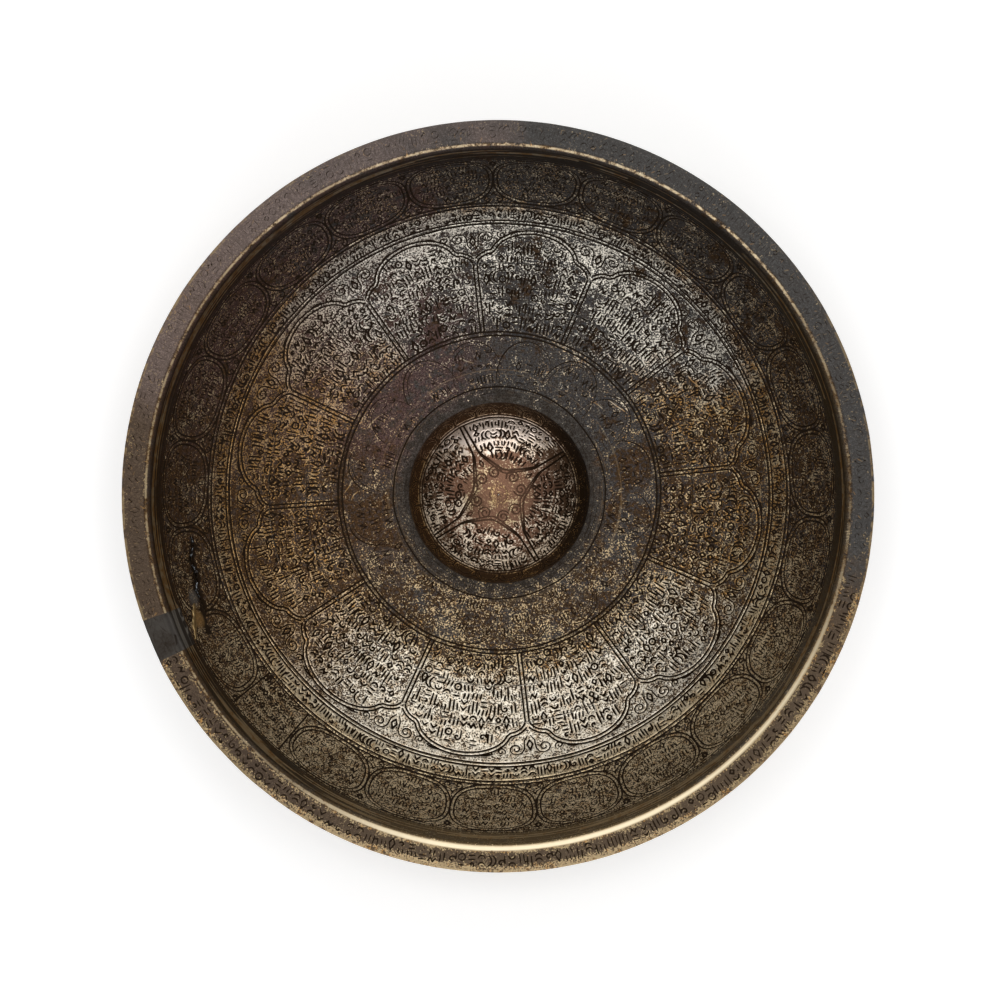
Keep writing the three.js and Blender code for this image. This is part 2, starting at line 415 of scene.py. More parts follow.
class Net:
    """A node tree, written as expressions."""

    def __init__(self, tree):
        self.tree = tree

    def node(self, kind, settings=None, values=None, out=0):
        """Adds a node, sets it up, fills its sockets with values or links and gives one of its outputs."""
        node = self.tree.nodes.new(kind)
        for name, value in (settings or {}).items():
            setattr(node, name, value)
        for name, value in (values or {}).items():
            socket = socket_named(node.inputs, name)
            if isinstance(value, Wire):
                self.tree.links.new(value.socket, socket)
            else:
                socket.default_value = value
        return Wire(self, socket_named(node.outputs, out))

    def math(self, operation, *values):
        """A Math node of some values."""
        return self.node("ShaderNodeMath", {"operation": operation}, dict(enumerate(values)))

    def most(self, *values):
        """The larger of two values."""
        return self.math("MAXIMUM", *values)

    def least(self, *values):
        """The smaller of two values."""
        return self.math("MINIMUM", *values)

    def smooth(self, value, low, high):
        """0 under low, 1 over high and a soft rise between them."""
        settings = {"interpolation_type": "SMOOTHSTEP"}
        values = {"Value": value, "From Min": low, "From Max": high}
        return self.node("ShaderNodeMapRange", settings, values)

    def fade(self, value, low, high):
        """1 under low, 0 over high and a soft fall between them."""
        return 1 - self.smooth(value, low, high)

    def zone(self, value, begins, whole, fades, ends):
        """1 inside two soft borders and 0 outside them."""
        return self.smooth(value, begins, whole) * self.fade(value, fades, ends)

    def noise(self, place, scale, detail, roughness, shift=0.0):
        """Noise round 0.5, at a scale in waves a millimetre where the place is in millimetres."""
        shifts = {0: place, 1: (shift, shift, shift)}
        moved = self.node("ShaderNodeVectorMath", {"operation": "ADD"}, shifts)
        values = {"Vector": moved, "Scale": scale, "Detail": detail, "Roughness": roughness}
        return self.node("ShaderNodeTexNoise", values=values)

    def mix(self, low, high, factor):
        """A colour between two colours."""
        low, high = (value if isinstance(value, Wire) else rgb(value) for value in (low, high))
        values = {"Factor": factor, "A": low, "B": high}
        return self.node("ShaderNodeMix", {"data_type": "RGBA"}, values, "Result")

    def apart(self, place):
        """The three parts of a vector."""
        node = self.node("ShaderNodeSeparateXYZ", values={0: place}).socket.node
        return [Wire(self, socket) for socket in node.outputs]

    def joined(self, x, y, z):
        """A vector of three parts."""
        return self.node("ShaderNodeCombineXYZ", values={"X": x, "Y": y, "Z": z})

    def scaled(self, place, factor):
        """A vector times a number."""
        return self.node("ShaderNodeVectorMath", {"operation": "SCALE"}, {0: place, "Scale": factor})


def rgb(value):
    """A colour with its alpha."""
    return (*value, 1.0)


def rule(name, inputs):
    """A Geometry Nodes tree with its named inputs: gives its net and a dictionary of its input wires."""
    tree = bpy.data.node_groups.new(name, "GeometryNodeTree")
    tree.interface.new_socket("Geometry", in_out="INPUT", socket_type="NodeSocketGeometry")
    for label, kind in inputs.items():
        tree.interface.new_socket(label, in_out="INPUT", socket_type="NodeSocket" + kind)
    tree.interface.new_socket("Geometry", in_out="OUTPUT", socket_type="NodeSocketGeometry")
    net = Net(tree)
    source = tree.nodes.new("NodeGroupInput")
    return net, {socket.name: Wire(net, socket) for socket in source.outputs if socket.name}


def close_rule(net, geometry, material):
    """Ends a tree with Realize Instances and Set Material."""
    real = net.node("GeometryNodeRealizeInstances", values={"Geometry": geometry})
    done = net.node("GeometryNodeSetMaterial", values={"Geometry": real, "Material": material})
    sink = net.tree.nodes.new("NodeGroupOutput")
    net.tree.links.new(done.socket, sink.inputs[0])


def wall_rule():
    """Tree that turns a grid into one ring of the wall, dense inside and coarse outside."""
    net, given = rule("Turned Wall", {
        "Columns": "Int", "Inner Rows": "Int", "Outer Rows": "Int", "Low Radius": "Float",
        "High Radius": "Float", "Steepness": "Float", "Wall Radius": "Float", "Curve Depth": "Float",
        "Wall Power": "Float", "Floor Power": "Float", "Height": "Float", "Thickness": "Float",
        "Seat Radius": "Float", "Material": "Material",
    })
    wall, deep = given["Wall Radius"], given["Curve Depth"]
    steep, flat = given["Wall Power"], given["Floor Power"]
    inner, outer = given["Inner Rows"], given["Outer Rows"]
    low, high = given["Low Radius"], given["High Radius"]

    def depth_of(radius):
        """Depth of the inner surface below the lip, by the bowl's rule."""
        return deep * (1 - (radius / wall) ** steep) ** (1 / flat)

    last = inner + outer + 2
    sheet = net.node("GeometryNodeMeshGrid", values={
        "Size X": 1.0, "Size Y": 1.0, "Vertices X": given["Columns"] + 1, "Vertices Y": last + 1,
    })
    column, line, _ = net.apart(net.node("GeometryNodeInputPosition"))
    row = net.math("ROUND", (line + 0.5) * last)
    outside = (row > inner + 0.5) * (row < last - 0.5)
    inside = row < inner + 0.5
    share = inside * row / inner + outside * (1 - (row - inner - 1) / outer)
    low_depth, high_depth = depth_of(low), depth_of(high)
    even_radius = low + (high - low) * share
    even_depth = low_depth + (high_depth - low_depth) * share
    fall_radius = wall * (1 - (even_depth / deep) ** flat) ** (1 / steep)
    radius = even_radius + (fall_radius - even_radius) * given["Steepness"]
    depth = depth_of(radius)
    across = steep * (radius / wall) ** (steep - 1) / wall
    along = flat * (depth / deep) ** (flat - 1) / deep
    slant = (across * across + along * along) ** 0.5
    away = outside * given["Thickness"] / slant
    shown_depth = net.least(depth, depth_of(given["Seat Radius"]))
    ground = (1 - outside) * -1.0
    height = net.most(given["Height"] - shown_depth - away * along, ground)
    turn = (column + 0.5) * (-2 * math.pi)
    reach = radius + away * across
    place = net.joined(reach * net.math("COSINE", turn), reach * net.math("SINE", turn), height)
    ring = net.node("GeometryNodeSetPosition", values={"Geometry": sheet, "Position": place})
    ring = net.node("GeometryNodeMergeByDistance", values={"Geometry": ring, "Distance": JOIN_GAP})
    close_rule(net, ring, given["Material"])
    return net.tree


def line_square(net, given, label):
    """The squared reach less the squared distance to an object's edges, far below zero with no object."""
    lines = net.node("GeometryNodeObjectInfo", values={"Object": given[label]}, out="Geometry")
    near = net.node("GeometryNodeProximity", {"target_element": "EDGES"}, {0: lines}, "Distance")
    distance = near + (1 - Wire(net, near.socket.node.outputs["Is Valid"]))
    return given["Reach"] * given["Reach"] - distance * distance


def store(net, surface, name, value, kind="FLOAT", domain="POINT"):
    """Keeps a value on the surface as an attribute."""
    settings = {"data_type": kind, "domain": domain}
    values = {"Geometry": surface, "Name": name, "Value": value}
    return net.node("GeometryNodeStoreNamedAttribute", settings, values)


def engraving_rule():
    """Tree that presses dents and a network of cut lines into a surface and stores how near each line is."""
    net, given = rule("Engraved Surface", {
        "Lines": "Object", "Scratches": "Object", "Reach": "Float", "Cut Depth": "Float",
        "Dent Depth": "Float", "Dent Size": "Float", "Ground Height": "Float", "Material": "Material",
    })
    bend = net.node("GeometryNodeInputMeshEdgeAngle", out="Unsigned Angle")
    corner = bend > math.radians(SHARP_CORNER)
    surface = store(net, given["Geometry"], "sharp_edge", corner, "BOOLEAN", "EDGE")
    cut = line_square(net, given, "Lines")
    scratch = line_square(net, given, "Scratches")
    for name, square in (("groove", cut), ("scratch", scratch)):
        surface = store(net, surface, name, net.most(square / MM ** 2, FAR_VALUE))
    relief = net.math("SQRT", net.most(cut, 0.0)) * given["Cut Depth"]
    place = net.node("GeometryNodeInputPosition")
    waves = {"Vector": place, "Scale": 1 / given["Dent Size"], "Detail": 2.0}
    bumps = net.node("ShaderNodeTexNoise", values=waves)
    ground = given["Ground Height"]
    lifted = net.smooth(net.apart(place)[2], ground, ground + DENT_RISE * MM)
    dent = given["Dent Depth"] * bumps * lifted
    offset = net.scaled(net.node("GeometryNodeInputNormal"), 0 - dent - relief)
    surface = net.node("GeometryNodeSetPosition", values={"Geometry": surface, "Offset": offset})
    surface = net.node("GeometryNodeSetShadeSmooth", values={"Geometry": surface, "Shade Smooth": True})
    close_rule(net, surface, given["Material"])
    return net.tree


def tree_named(name, make):
    """A tree that was made before, or the one that make builds."""
    return bpy.data.node_groups.get(name) or make()


def run_rules(piece, rules):
    """Runs each tree on a piece with its values by input name, and leaves a plain mesh."""
    for tree, values in rules:
        modifier = piece.modifiers.new(tree.name, "NODES")
        modifier.node_group = tree
        for item in tree.interface.items_tree:
            if item.in_out == "INPUT" and item.name in values:
                modifier[item.identifier] = values[item.name]
    bpy.context.view_layer.update()
    ready = piece.evaluated_get(bpy.context.evaluated_depsgraph_get())
    mesh = bpy.data.meshes.new_from_object(ready)
    old = piece.data
    piece.modifiers.clear()
    piece.data = mesh
    bpy.data.meshes.remove(old)
    mesh.name = piece.name


def new_object(name, mesh):
    """An object with this mesh in the scene."""
    piece = bpy.data.objects.new(name, mesh)
    bpy.context.scene.collection.objects.link(piece)
    return piece


def mesh_from(name, points, edges, faces):
    """A mesh from points in millimetres."""
    mesh = bpy.data.meshes.new(name)
    mesh.from_pydata((np.asarray(points) * MM).tolist(), edges, faces)
    mesh.update()
    return mesh


def turned(name, profile, columns, start=0.0, end=360.0):
    """A mesh turned from a closed anticlockwise profile of (radius, height), whole or between two angles."""
    whole = end - start >= 360
    count = columns if whole else columns + 1
    angles = np.radians(start + (end - start) * np.arange(count) / columns)
    radius, height = np.array(profile).T
    around = radius[:, None] * np.cos(angles), radius[:, None] * np.sin(angles)
    points = np.stack([*around, np.repeat(height[:, None], count, 1)], -1).reshape(-1, 3)
    rows = len(profile)
    i, j = np.meshgrid(np.arange(columns), np.arange(rows))
    near, far = j * count, (j + 1) % rows * count
    after = (i + 1) % count
    faces = np.stack([near + i, near + after, far + after, far + i], -1).reshape(-1, 4).tolist()
    if not whole:
        first = [row * count for row in range(rows)]
        faces.append(first)
        faces.append([index + count - 1 for index in reversed(first)])
    return mesh_from(name, points, [], faces)


def arc(across, up, radius, start, end, steps=8, rise=1.0):
    """Points of an arc round a centre, angles in degrees; rise squeezes or stretches it upwards."""
    turn = np.radians(np.linspace(start, end, steps + 1))
    return [(across + radius * math.cos(a), up + rise * radius * math.sin(a)) for a in turn]


def stretch(start, end, step):
    """Points from one place to another at about this distance, both included."""
    count = max(1, round(math.dist(start, end) / step))
    return [tuple(np.array(start) + (np.array(end) - np.array(start)) * i / count) for i in range(count + 1)]


class Section:
    """The bowl's section in millimetres: a curve from the lip to the floor, and its offset outside."""

    def __init__(self, sizes):
        self.rim = sizes.rim_radius / MM
        self.height = sizes.height / MM
        self.wall = self.rim - sizes.rim_width / MM
        self.rim_top = self.height - sizes.lip_rise / MM
        self.rim_thickness = sizes.rim_thickness / MM
        self.lip_width = sizes.lip_width / MM
        self.thickness = sizes.wall_thickness / MM
        self.base = sizes.base_radius / MM
        self.steep = sizes.wall_power
        self.flat = sizes.floor_power
        share = (1 - (self.base / self.wall) ** self.steep) ** (1 / self.flat)
        self.deep = (self.height - self.thickness) / share

    def depth(self, radius):
        """Depth of the inner surface below the crest of the lip."""
        return self.deep * (1 - (radius / self.wall) ** self.steep) ** (1 / self.flat)

    def radius(self, depth):
        """Distance of the inner surface from the axis."""
        return self.wall * (1 - (depth / self.deep) ** self.flat) ** (1 / self.steep)

    def outside(self, depth):
        """Point of the outer surface square to the inner one at a depth."""
        radius = self.radius(depth)
        across = self.steep * (radius / self.wall) ** (self.steep - 1) / self.wall
        along = self.flat * (depth / self.deep) ** (self.flat - 1) / self.deep
        slant = math.hypot(across, along)
        return radius + self.thickness * across / slant, self.height - depth - self.thickness * along / slant


class Side:
    """The engraved side of a turned piece: its section from near the axis outwards, in millimetres."""

    def __init__(self, radius, height):
        self.radius = np.asarray(radius, float)
        self.height = np.asarray(height, float)
        step = np.hypot(np.diff(self.radius), np.diff(self.height))
        self.way = np.concatenate([[0.0], np.cumsum(step)])
        self.tilt = np.arctan2(np.gradient(self.height), np.gradient(self.radius))

    def radius_at(self, way):
        """Distance from the axis at a way along the side."""
        return np.interp(way, self.way, self.radius)

    def way_at(self, radius):
        """Way along the side at a distance from the axis."""
        return np.interp(radius, self.radius, self.way)

    def places(self, angles, ways):
        """Points of the side and its normals there."""
        turn = np.radians(angles)
        radius = self.radius_at(ways)
        tilt = np.interp(ways, self.way, self.tilt)
        height = np.interp(ways, self.way, self.height)
        points = np.stack([radius * np.cos(turn), radius * np.sin(turn), height], -1)
        normals = np.stack([-np.sin(tilt) * np.cos(turn), -np.sin(tilt) * np.sin(turn), np.cos(tilt)], -1)
        return points, normals


def wall_side(section):
    """The inner side of the bowl, from the solder ring up to the lip."""
    low = np.linspace(SIDE_START, SIDE_TURN, 400)
    deep = np.linspace(section.depth(SIDE_TURN), SIDE_TOP, 200)[1:]
    radius = np.concatenate([low, section.radius(deep)])
    return Side(radius, section.height - np.concatenate([section.depth(low), deep]))


def rim_side(section):
    """The flat rim, from the wall to past its edge."""
    return Side([section.wall, section.rim + 1], [section.rim_top] * 2)


def ways_down(side, section, depths):
    """Ways along the wall's side at depths below the lip."""
    return side.way_at([section.radius(depth) for depth in depths])


class Cuts:
    """Lines cut into a side, gathered until they become one mesh of edges for the engraving tree."""

    def __init__(self, side, reach, seed):
        self.side = side
        self.reach = reach
        self.random = random.Random(seed)
        self.points = []
        self.edges = []
        self.count = 0

    def line(self, angles, ways, half_width=LINE_CUT, taper=0.0):
        """Cuts a line through places given as degrees and ways, finer towards its ends with a taper."""
        angles, ways = np.asarray(angles, float), np.asarray(ways, float)
        across = np.radians(np.diff(angles)) * self.side.radius_at(ways[:-1])
        steps = np.hypot(across, np.diff(ways))
        pieces = np.maximum(1, np.ceil(steps / LINE_STEP)).astype(int)
        place = np.concatenate([[0.0]] + [i + np.arange(1, n + 1) / n for i, n in enumerate(pieces)])
        angles = np.interp(place, np.arange(len(angles)), angles)
        ways = np.interp(place, np.arange(len(ways)), ways)
        share = np.linspace(0, 1, len(place))
        width = half_width * (1 - taper + taper * np.sin(math.pi * share))
        points, normals = self.side.places(angles, ways)
        lift = np.sqrt(self.reach ** 2 - width ** 2)
        self.points.append(points + normals * lift[:, None])
        first = np.arange(self.count, self.count + len(place) - 1)
        self.edges.append(np.stack([first, first + 1], -1))
        self.count += len(place)

    def strokes(self, angle, way, strokes, half_width=MARK_CUT, taper=0.35, inside=None, scale=1.0):
        """Cuts strokes drawn in millimetres round a place, except what lies outside a limit."""
        radius = self.side.radius_at(way)
        for stroke in strokes:
            across, up = np.array(stroke, float).T * scale
            angles, ways = angle + np.degrees(across / radius), way + up
            if inside is None or np.all(inside(angles, ways)):
                self.line(angles, ways, half_width, taper)

    def ring(self, way, half_width=LINE_CUT, start=0.0, end=360.0, sway=0.12):
        """Cuts a line round the bowl that sways as one cut by hand."""
        angles = np.linspace(start, end, max(8, round((end - start) / 1.5)) + 1)
        turns = [(self.random.randint(3, 19), self.random.uniform(0, 6.28)) for _ in range(4)]
        wave = sum(np.sin(np.radians(angles) * n + shift) for n, shift in turns) / len(turns)
        self.line(angles, way + sway * wave, half_width)

    def double_ring(self, way, half_width=LINE_CUT):
        """Cuts two rings with a raised line between them."""
        for side in (-0.5, 0.5):
            self.ring(way + side * LINE_PITCH, half_width)

    def network(self, name):
        """The lines as an object made of edges."""
        points, edges = np.concatenate(self.points), np.concatenate(self.edges)
        return new_object(name, mesh_from(name, points, edges.tolist(), []))


def post(chance, tall):
    """Two or three upright strokes of uneven length."""
    count, lean = chance.choice([2, 3]), chance.uniform(-0.3, 0.3)
    strokes = []
    for i in range(count):
        low, high = chance.uniform(0.0, 0.35) * tall, chance.uniform(0.65, 1.0) * tall
        strokes.append([(0.2 + i, low), (0.2 + i + lean, high)])
    return count - 0.6, strokes


def husk(chance, tall):
    """Two arcs, one behind the other."""
    radius, turn = tall * 0.44, chance.uniform(-25, 25)
    return 1.8, [arc(x - radius * 0.55, tall / 2, radius, turn - 65, turn + 65, 7) for x in (0.35, 1.4)]


def sprout(chance, tall):
    """A stem between two slanting buds."""
    low, top = chance.uniform(0.0, 0.15) * tall, chance.uniform(0.8, 1.0) * tall
    buds = [[(1.1 + side * 0.75, top - 1.5), (1.1 + side * 1.0, top)] for side in (-1, 1)]
    return 2.3, [[(1.1, low), (1.1, top - 0.3)], *buds]


def eye(chance, tall):
    """A ring with a dot in it and a bar over or under it."""
    high, far = chance.choice([(0.3, 0.92), (0.7, 0.08)])
    ring = arc(0.95, high * tall, 0.88, 0, 360, 12)
    return 1.9, [ring, dot(0.95, high * tall), [(0.2, far * tall), (1.7, far * tall)]]


def bowls(chance, tall):
    """Two nested half rings with a dot."""
    high = chance.uniform(0.26, 0.34) * tall
    halves = [arc(0.95, high + up, 0.85, 195, 345, 7) for up in (0.0, 1.15)]
    return 1.9, [*halves, dot(0.95, high + 1.75)]


def wedge(chance, tall):
    """Two chevrons, one over the other."""
    low, high = chance.uniform(0.02, 0.12) * tall, chance.uniform(0.9, 1.2)
    return 2.0, [[(0.15, low + up), (1.0, low + up + high), (1.85, low + up)] for up in (0.0, 1.65)]


def leaf(chance, tall):
    """A pointed leaf."""
    high = tall * chance.uniform(0.75, 0.95)
    left = [(0.85, 0.0), (0.15, high * 0.4), (0.85, high)]
    right = [(0.85, high), (1.55, high * 0.4), (0.85, 0.0)]
    return 1.7, [left, right]


def curl(chance, tall):
    """A scroll that rolls in from a stem."""
    high = chance.uniform(0.35, 0.6) * tall
    return 2.0, [[(0.1, 0.1)] + spiral(1.0, high, 0.95, 1.0, 180, chance.choice([-1, 1]))]


def ticks(chance, tall):
    """Two or three short slanting ticks."""
    count, lean = chance.choice([2, 3]), chance.uniform(-0.4, 0.4)
    return count - 0.6, [[(0.2 + i, 0.05 * tall), (0.2 + i + lean, 0.95 * tall)] for i in range(count)]


def diamond(chance, tall):
    """A small open diamond."""
    corners = ((0.8, 0.0), (1.45, 0.5), (0.8, 1.0), (0.15, 0.5), (0.8, 0.0))
    return 1.6, [[(across, up * tall) for across, up in corners]]


def zigzag(chance, tall):
    """Three legs of a zigzag."""
    return 2.1, [[(0.1, 0.1 * tall), (0.75, 0.9 * tall), (1.35, 0.1 * tall), (2.0, 0.9 * tall)]]


def bow(chance, tall):
    """Half a ring, open above or below, with a dot."""
    first, share = chance.choice([(0, 0.2), (180, 0.8)])
    return 2.0, [arc(1.0, share * tall, 0.85, first, first + 180, 8), dot(1.0, share * tall)]


def bars(chance, tall):
    """Two level bars."""
    lean = chance.uniform(-0.2, 0.2)
    return 1.8, [[(0.1, share * tall), (1.7, share * tall + lean)] for share in (0.12, 0.88)]


def hook(chance, tall):
    """A short curl."""
    return 1.7, [spiral(0.85, tall / 2, 0.75, 0.8, chance.uniform(0, 360), chance.choice([-1, 1]))]


def specks(chance, tall):
    """Two dots."""
    return 1.3, [dot(0.35, 0.25 * tall), dot(0.95, 0.75 * tall)]


SMALL_MARKS = (ticks, ticks, diamond, zigzag, bow, bow, bars, hook, specks)


def storeys(chance, tall):
    """Two small marks, one over the other."""
    pair = [chance.choice(SMALL_MARKS)(chance, tall * 0.4) for _ in range(2)]
    wide = max(own for own, strokes in pair)
    placed = []
    for (own, strokes), lift in zip(pair, (0.0, tall * 0.56)):
        aside = (wide - own) / 2
        placed += [[(across + aside, up + lift) for across, up in stroke] for stroke in strokes]
    return wide, placed


def dot(across, up):
    """A short cut that shows as a dot."""
    return [(across - 0.08, up - 0.06), (across + 0.08, up + 0.06)]


MARKS = (post, post, post, post, husk, sprout, eye, bowls, wedge, leaf, curl) + (storeys,) * 9


def spiral(across, up, radius, turns, start, way_round=1, steps=10):
    """Points of a spiral scroll from its outer end inwards."""
    count = round(turns * steps)
    points = []
    for i in range(count + 1):
        share = i / count
        turn = math.radians(start) + way_round * 2 * math.pi * turns * share
        reach = radius * (1 - 0.82 * share)
        points.append((across + reach * math.cos(turn), up + reach * math.sin(turn)))
    return points


def mark_row(cuts, way, tall, start, end, half_width=MARK_CUT, inside=None, scale=1.0, gap=0.5, kinds=MARKS):
    """Fills a row between two angles with abstract marks, as drawn or mirrored, with dots between them."""
    chance = cuts.random
    radius = cuts.side.radius_at(way + tall / 2)
    angle = start
    while angle < end:
        wide, strokes = chance.choice(kinds)(chance, tall / scale)
        if chance.random() < 0.5:
            strokes = [[(wide - across, up) for across, up in stroke] for stroke in strokes]
        space = chance.uniform(0.7, 1.3) * gap
        if chance.random() < 0.3:
            strokes.append(dot(wide + space / 2, chance.uniform(0.1, 0.9) * tall / scale))
        step = math.degrees((wide + space) * scale / radius)
        if angle + step * 0.8 > end:
            break
        lift = chance.uniform(-0.08, 0.08) * tall
        cuts.strokes(angle, way + lift, strokes, half_width * chance.uniform(0.88, 1.1), 0.25, inside, scale)
        angle += step


def offset_line(points, distance):
    """A line beside another, to its left where the distance is positive."""
    points = np.asarray(points, float)
    along = np.gradient(points, axis=0)
    along /= np.linalg.norm(along, axis=1)[:, None]
    return points + distance * np.stack([-along[:, 1], along[:, 0]], -1)


def from_middle(side, middle, points):
    """Degrees and ways of points drawn as (millimetres from a middle line, way)."""
    across, ways = np.asarray(points, float).T
    return middle + np.degrees(across / side.radius_at(ways)), ways


def panel_arch(side, half):
    """Lobed arch over a panel, from its right springing to its left one, drawn from the panel's middle."""
    spring, cusp, apex = (side.way_at(radius) for radius in (SPRINGING, ARCH_CUSP, ARCH_APEX))
    wide = math.radians(half) * side.radius_at(spring) - LINE_PITCH / 2 - SHOULDER
    lobe = arc(wide, spring, SHOULDER, 0, 80, 7, (cusp - spring) / SHOULDER)
    crown = arc(0, cusp, wide, 8, 172, 28, (apex - cusp) / wide)
    return lobe + crown + [(-across, way) for across, way in reversed(lobe)]


def cut_panel(cuts, start, end):
    """One panel of the wall: its border with the arch, and its rows."""
    side = cuts.side
    middle, half = (start + end) / 2, (end - start) / 2
    foot, spring = side.way_at(PANEL_FOOT) + PANEL_GAP, side.way_at(SPRINGING)
    ways = np.linspace(foot, spring, 12)
    beside = np.radians(half) * side.radius_at(ways) - LINE_PITCH / 2
    arch = panel_arch(side, half)
    right = list(zip(beside, ways))
    left = [(-across, way) for across, way in reversed(right)]
    cuts.line(*from_middle(side, middle, right + arch + left))
    cuts.line(*from_middle(side, middle, offset_line(arch, -LINE_PITCH)[2:-2]))
    arch_across, arch_way = np.array(sorted(arch)).T

    def inside(angles, ways):
        """Whether a mark lies within the panel's border."""
        across = np.radians(np.asarray(angles) - middle) * side.radius_at(ways)
        wide = np.radians(half) * side.radius_at(ways) - LINE_PITCH - 0.35
        return (np.abs(across) < wide) & (ways < np.interp(across, arch_across, arch_way) - 0.55)

    way, apex = foot + 0.5, side.way_at(ARCH_APEX)
    while way < apex - 3.0:
        tall = min(ROW_TALL, apex - 0.6 - way)
        wide = half - math.degrees((LINE_PITCH + 0.3) / side.radius_at(way))
        mark_row(cuts, way, tall, middle - wide, middle + wide, inside=inside, scale=tall / ROW_TALL)
        way += ROW_PITCH


def cut_spandrel(cuts, divider):
    """Two scrolls and a leaf between the arches over a divider."""
    side = cuts.side
    low = side.way_at(SPRINGING)
    for turn in (-1, 1):
        scroll = spiral(turn * 3.5, 7.6, 1.65, 1.35, 90, -turn)
        tail = [(turn * 0.4, 4.0), (turn * 1.3, 5.4), (turn * 1.45, 7.8), (turn * 2.2, 9.0)] + scroll[:1]
        shoulder = spiral(turn * 7.1, 8.2, 1.1, 1.2, 90 + 60 * turn, turn)
        cuts.strokes(divider, low, [scroll, tail, shoulder], FINE_CUT, 0.2)
        bud = [(turn * 9.0, 8.9), (turn * 10.4, 9.4), (turn * 12.0, 9.6)]
        cuts.strokes(divider, low, [bud], MARK_CUT, 0.5)
    cuts.strokes(divider, low, [[(0, 5.2), (-0.7, 6.5), (0, 8.2), (0.7, 6.5), (0, 5.2)]], MARK_CUT, 0.2)


def rounded_square(wide, tall, steps=44):
    """Points of a superellipse round a place, which ends where it starts."""
    turn = np.linspace(0, 2 * math.pi, steps + 1)
    cosine, sine = np.cos(turn), np.sin(turn)
    across = wide * np.sign(cosine) * np.abs(cosine) ** (2 / ROUNDEL_POWER)
    up = tall * np.sign(sine) * np.abs(sine) ** (2 / ROUNDEL_POWER)
    return np.stack([across, up], -1)


def cut_roundel(cuts, middle):
    """One roundel of the wall with its double border, its rows and the scrolls beside it."""
    side = cuts.side
    low, high = side.way_at(BAND_TOP) + ROUNDEL_GAP, side.way_at(TOP_LINE) - ROUNDEL_GAP
    centre, tall = (low + high) / 2, (high - low) / 2
    radius = side.radius_at(centre)
    wide = math.radians(ROUNDEL_PITCH / 2) * radius - 0.05
    for inset in (0, LINE_PITCH):
        cuts.strokes(middle, centre, [rounded_square(wide - inset, tall - inset)], LINE_CUT, 0.0)

    def inside(angles, ways):
        """Whether a mark lies within the roundel's border."""
        across = np.radians(np.asarray(angles) - middle) * radius / (wide - 1.75)
        up = (ways - centre) / (tall - 1.6)
        return np.abs(across) ** ROUNDEL_POWER + np.abs(up) ** ROUNDEL_POWER < 1

    reach = math.degrees((wide - 1.6) / radius)
    row = {"half_width": FINE_CUT, "inside": inside, "scale": 0.95, "kinds": SMALL_MARKS}
    way = centre - tall + 1.7
    while way < centre + tall - 2.6:
        mark_row(cuts, way, FINE_TALL, middle - reach, middle + reach, **row)
        way += FINE_PITCH
    beside = middle + ROUNDEL_PITCH / 2
    for turn in (-1, 1):
        scroll = spiral(turn * 1.45, 1.5, 1.15, 1.2, 90, -turn)
        cuts.strokes(beside, low - 0.3, [scroll, [(0, 4.4), (turn * 0.5, 3.2), scroll[0]]], FINE_CUT, 0.2)
        branch = [(0, -4.0), (turn * 0.9, -2.6), (turn * 0.5, -1.4), (turn * 1.9, -0.9)]
        cuts.strokes(beside, high + 0.3, [branch], FINE_CUT, 0.3)
    bud = [(0, -3.2), (-0.5, -2.2), (0, -1.0), (0.5, -2.2), (0, -3.2)]
    cuts.strokes(beside, high + 0.3, [bud], FINE_CUT, 0.2)


def cut_gap_panel(cuts, start, end):
    """The short stretch between the last roundel and the first, filled with rows."""
    side = cuts.side
    low, high = side.way_at(BAND_TOP) + PANEL_GAP, side.way_at(TOP_LINE) - PANEL_GAP
    for angle in (start, end):
        cuts.line([angle, angle], [low, high])
    way = low + 0.6
    while way < high - 3:
        mark_row(cuts, way, 2.9, start + 0.7, end - 0.7, scale=0.8)
        way += 4.0


def cut_inner_zone(cuts):
    """Worn arcs, sparse marks and a ring between the panels and the solder ring."""
    side, chance = cuts.side, cuts.random
    low = side.way_at(FLOOR_LINE)
    radius = side.radius_at(low + 8)
    pitch = 360 / ARC_COUNT
    wide = math.radians(pitch / 2) * radius - 0.5
    reach = math.degrees((wide - 1.4) / radius)
    row = {"half_width": DIM_CUT, "scale": 0.9, "gap": 1.2, "kinds": SMALL_MARKS}
    for i in range(ARC_COUNT):
        middle = (i + 0.5) * pitch + chance.uniform(-1.0, 1.0)
        for inset, cut in ((0, DIM_CUT), (0.95, WORN_CUT)):
            first, last = chance.uniform(0, 75), 180 - chance.uniform(0, 75)
            lobe = arc(0, 0.8, wide - inset, first, last, 22, (12.4 - inset) / (wide - inset))
            cuts.strokes(middle, low, [lobe], cut, 0.45)
        for way in (low + 1.4, low + 5.0, low + 8.2):
            if chance.random() < 0.8:
                mark_row(cuts, way, 2.4, middle - reach, middle + reach, **row)
    cuts.ring(low + 0.2, FINE_CUT, sway=0.2)


def cut_scratches(cuts, count, start, end, low, high):
    """Fine stray scratches between two angles and two ways."""
    chance = cuts.random
    for _ in range(count):
        angle, way = chance.uniform(start, end), chance.uniform(low, high)
        across, up = chance.uniform(-5, 5), chance.uniform(-2.5, 2.5)
        bend = chance.uniform(-0.4, 0.4)
        scratch = [(0, 0), (across / 2 + bend, up / 2 - bend), (across, up)]
        cuts.strokes(angle, way, [scratch], SCRATCH_CUT, 0.25)


def cut_turned(cuts, count, inner, outer, short, long):
    """Fine scratches that run round the bowl between two distances from its axis."""
    chance = cuts.random
    for _ in range(count):
        start = chance.uniform(0, 360)
        way = cuts.side.way_at(chance.uniform(inner, outer))
        cuts.ring(way, SCRATCH_CUT, start, start + chance.uniform(short, long))


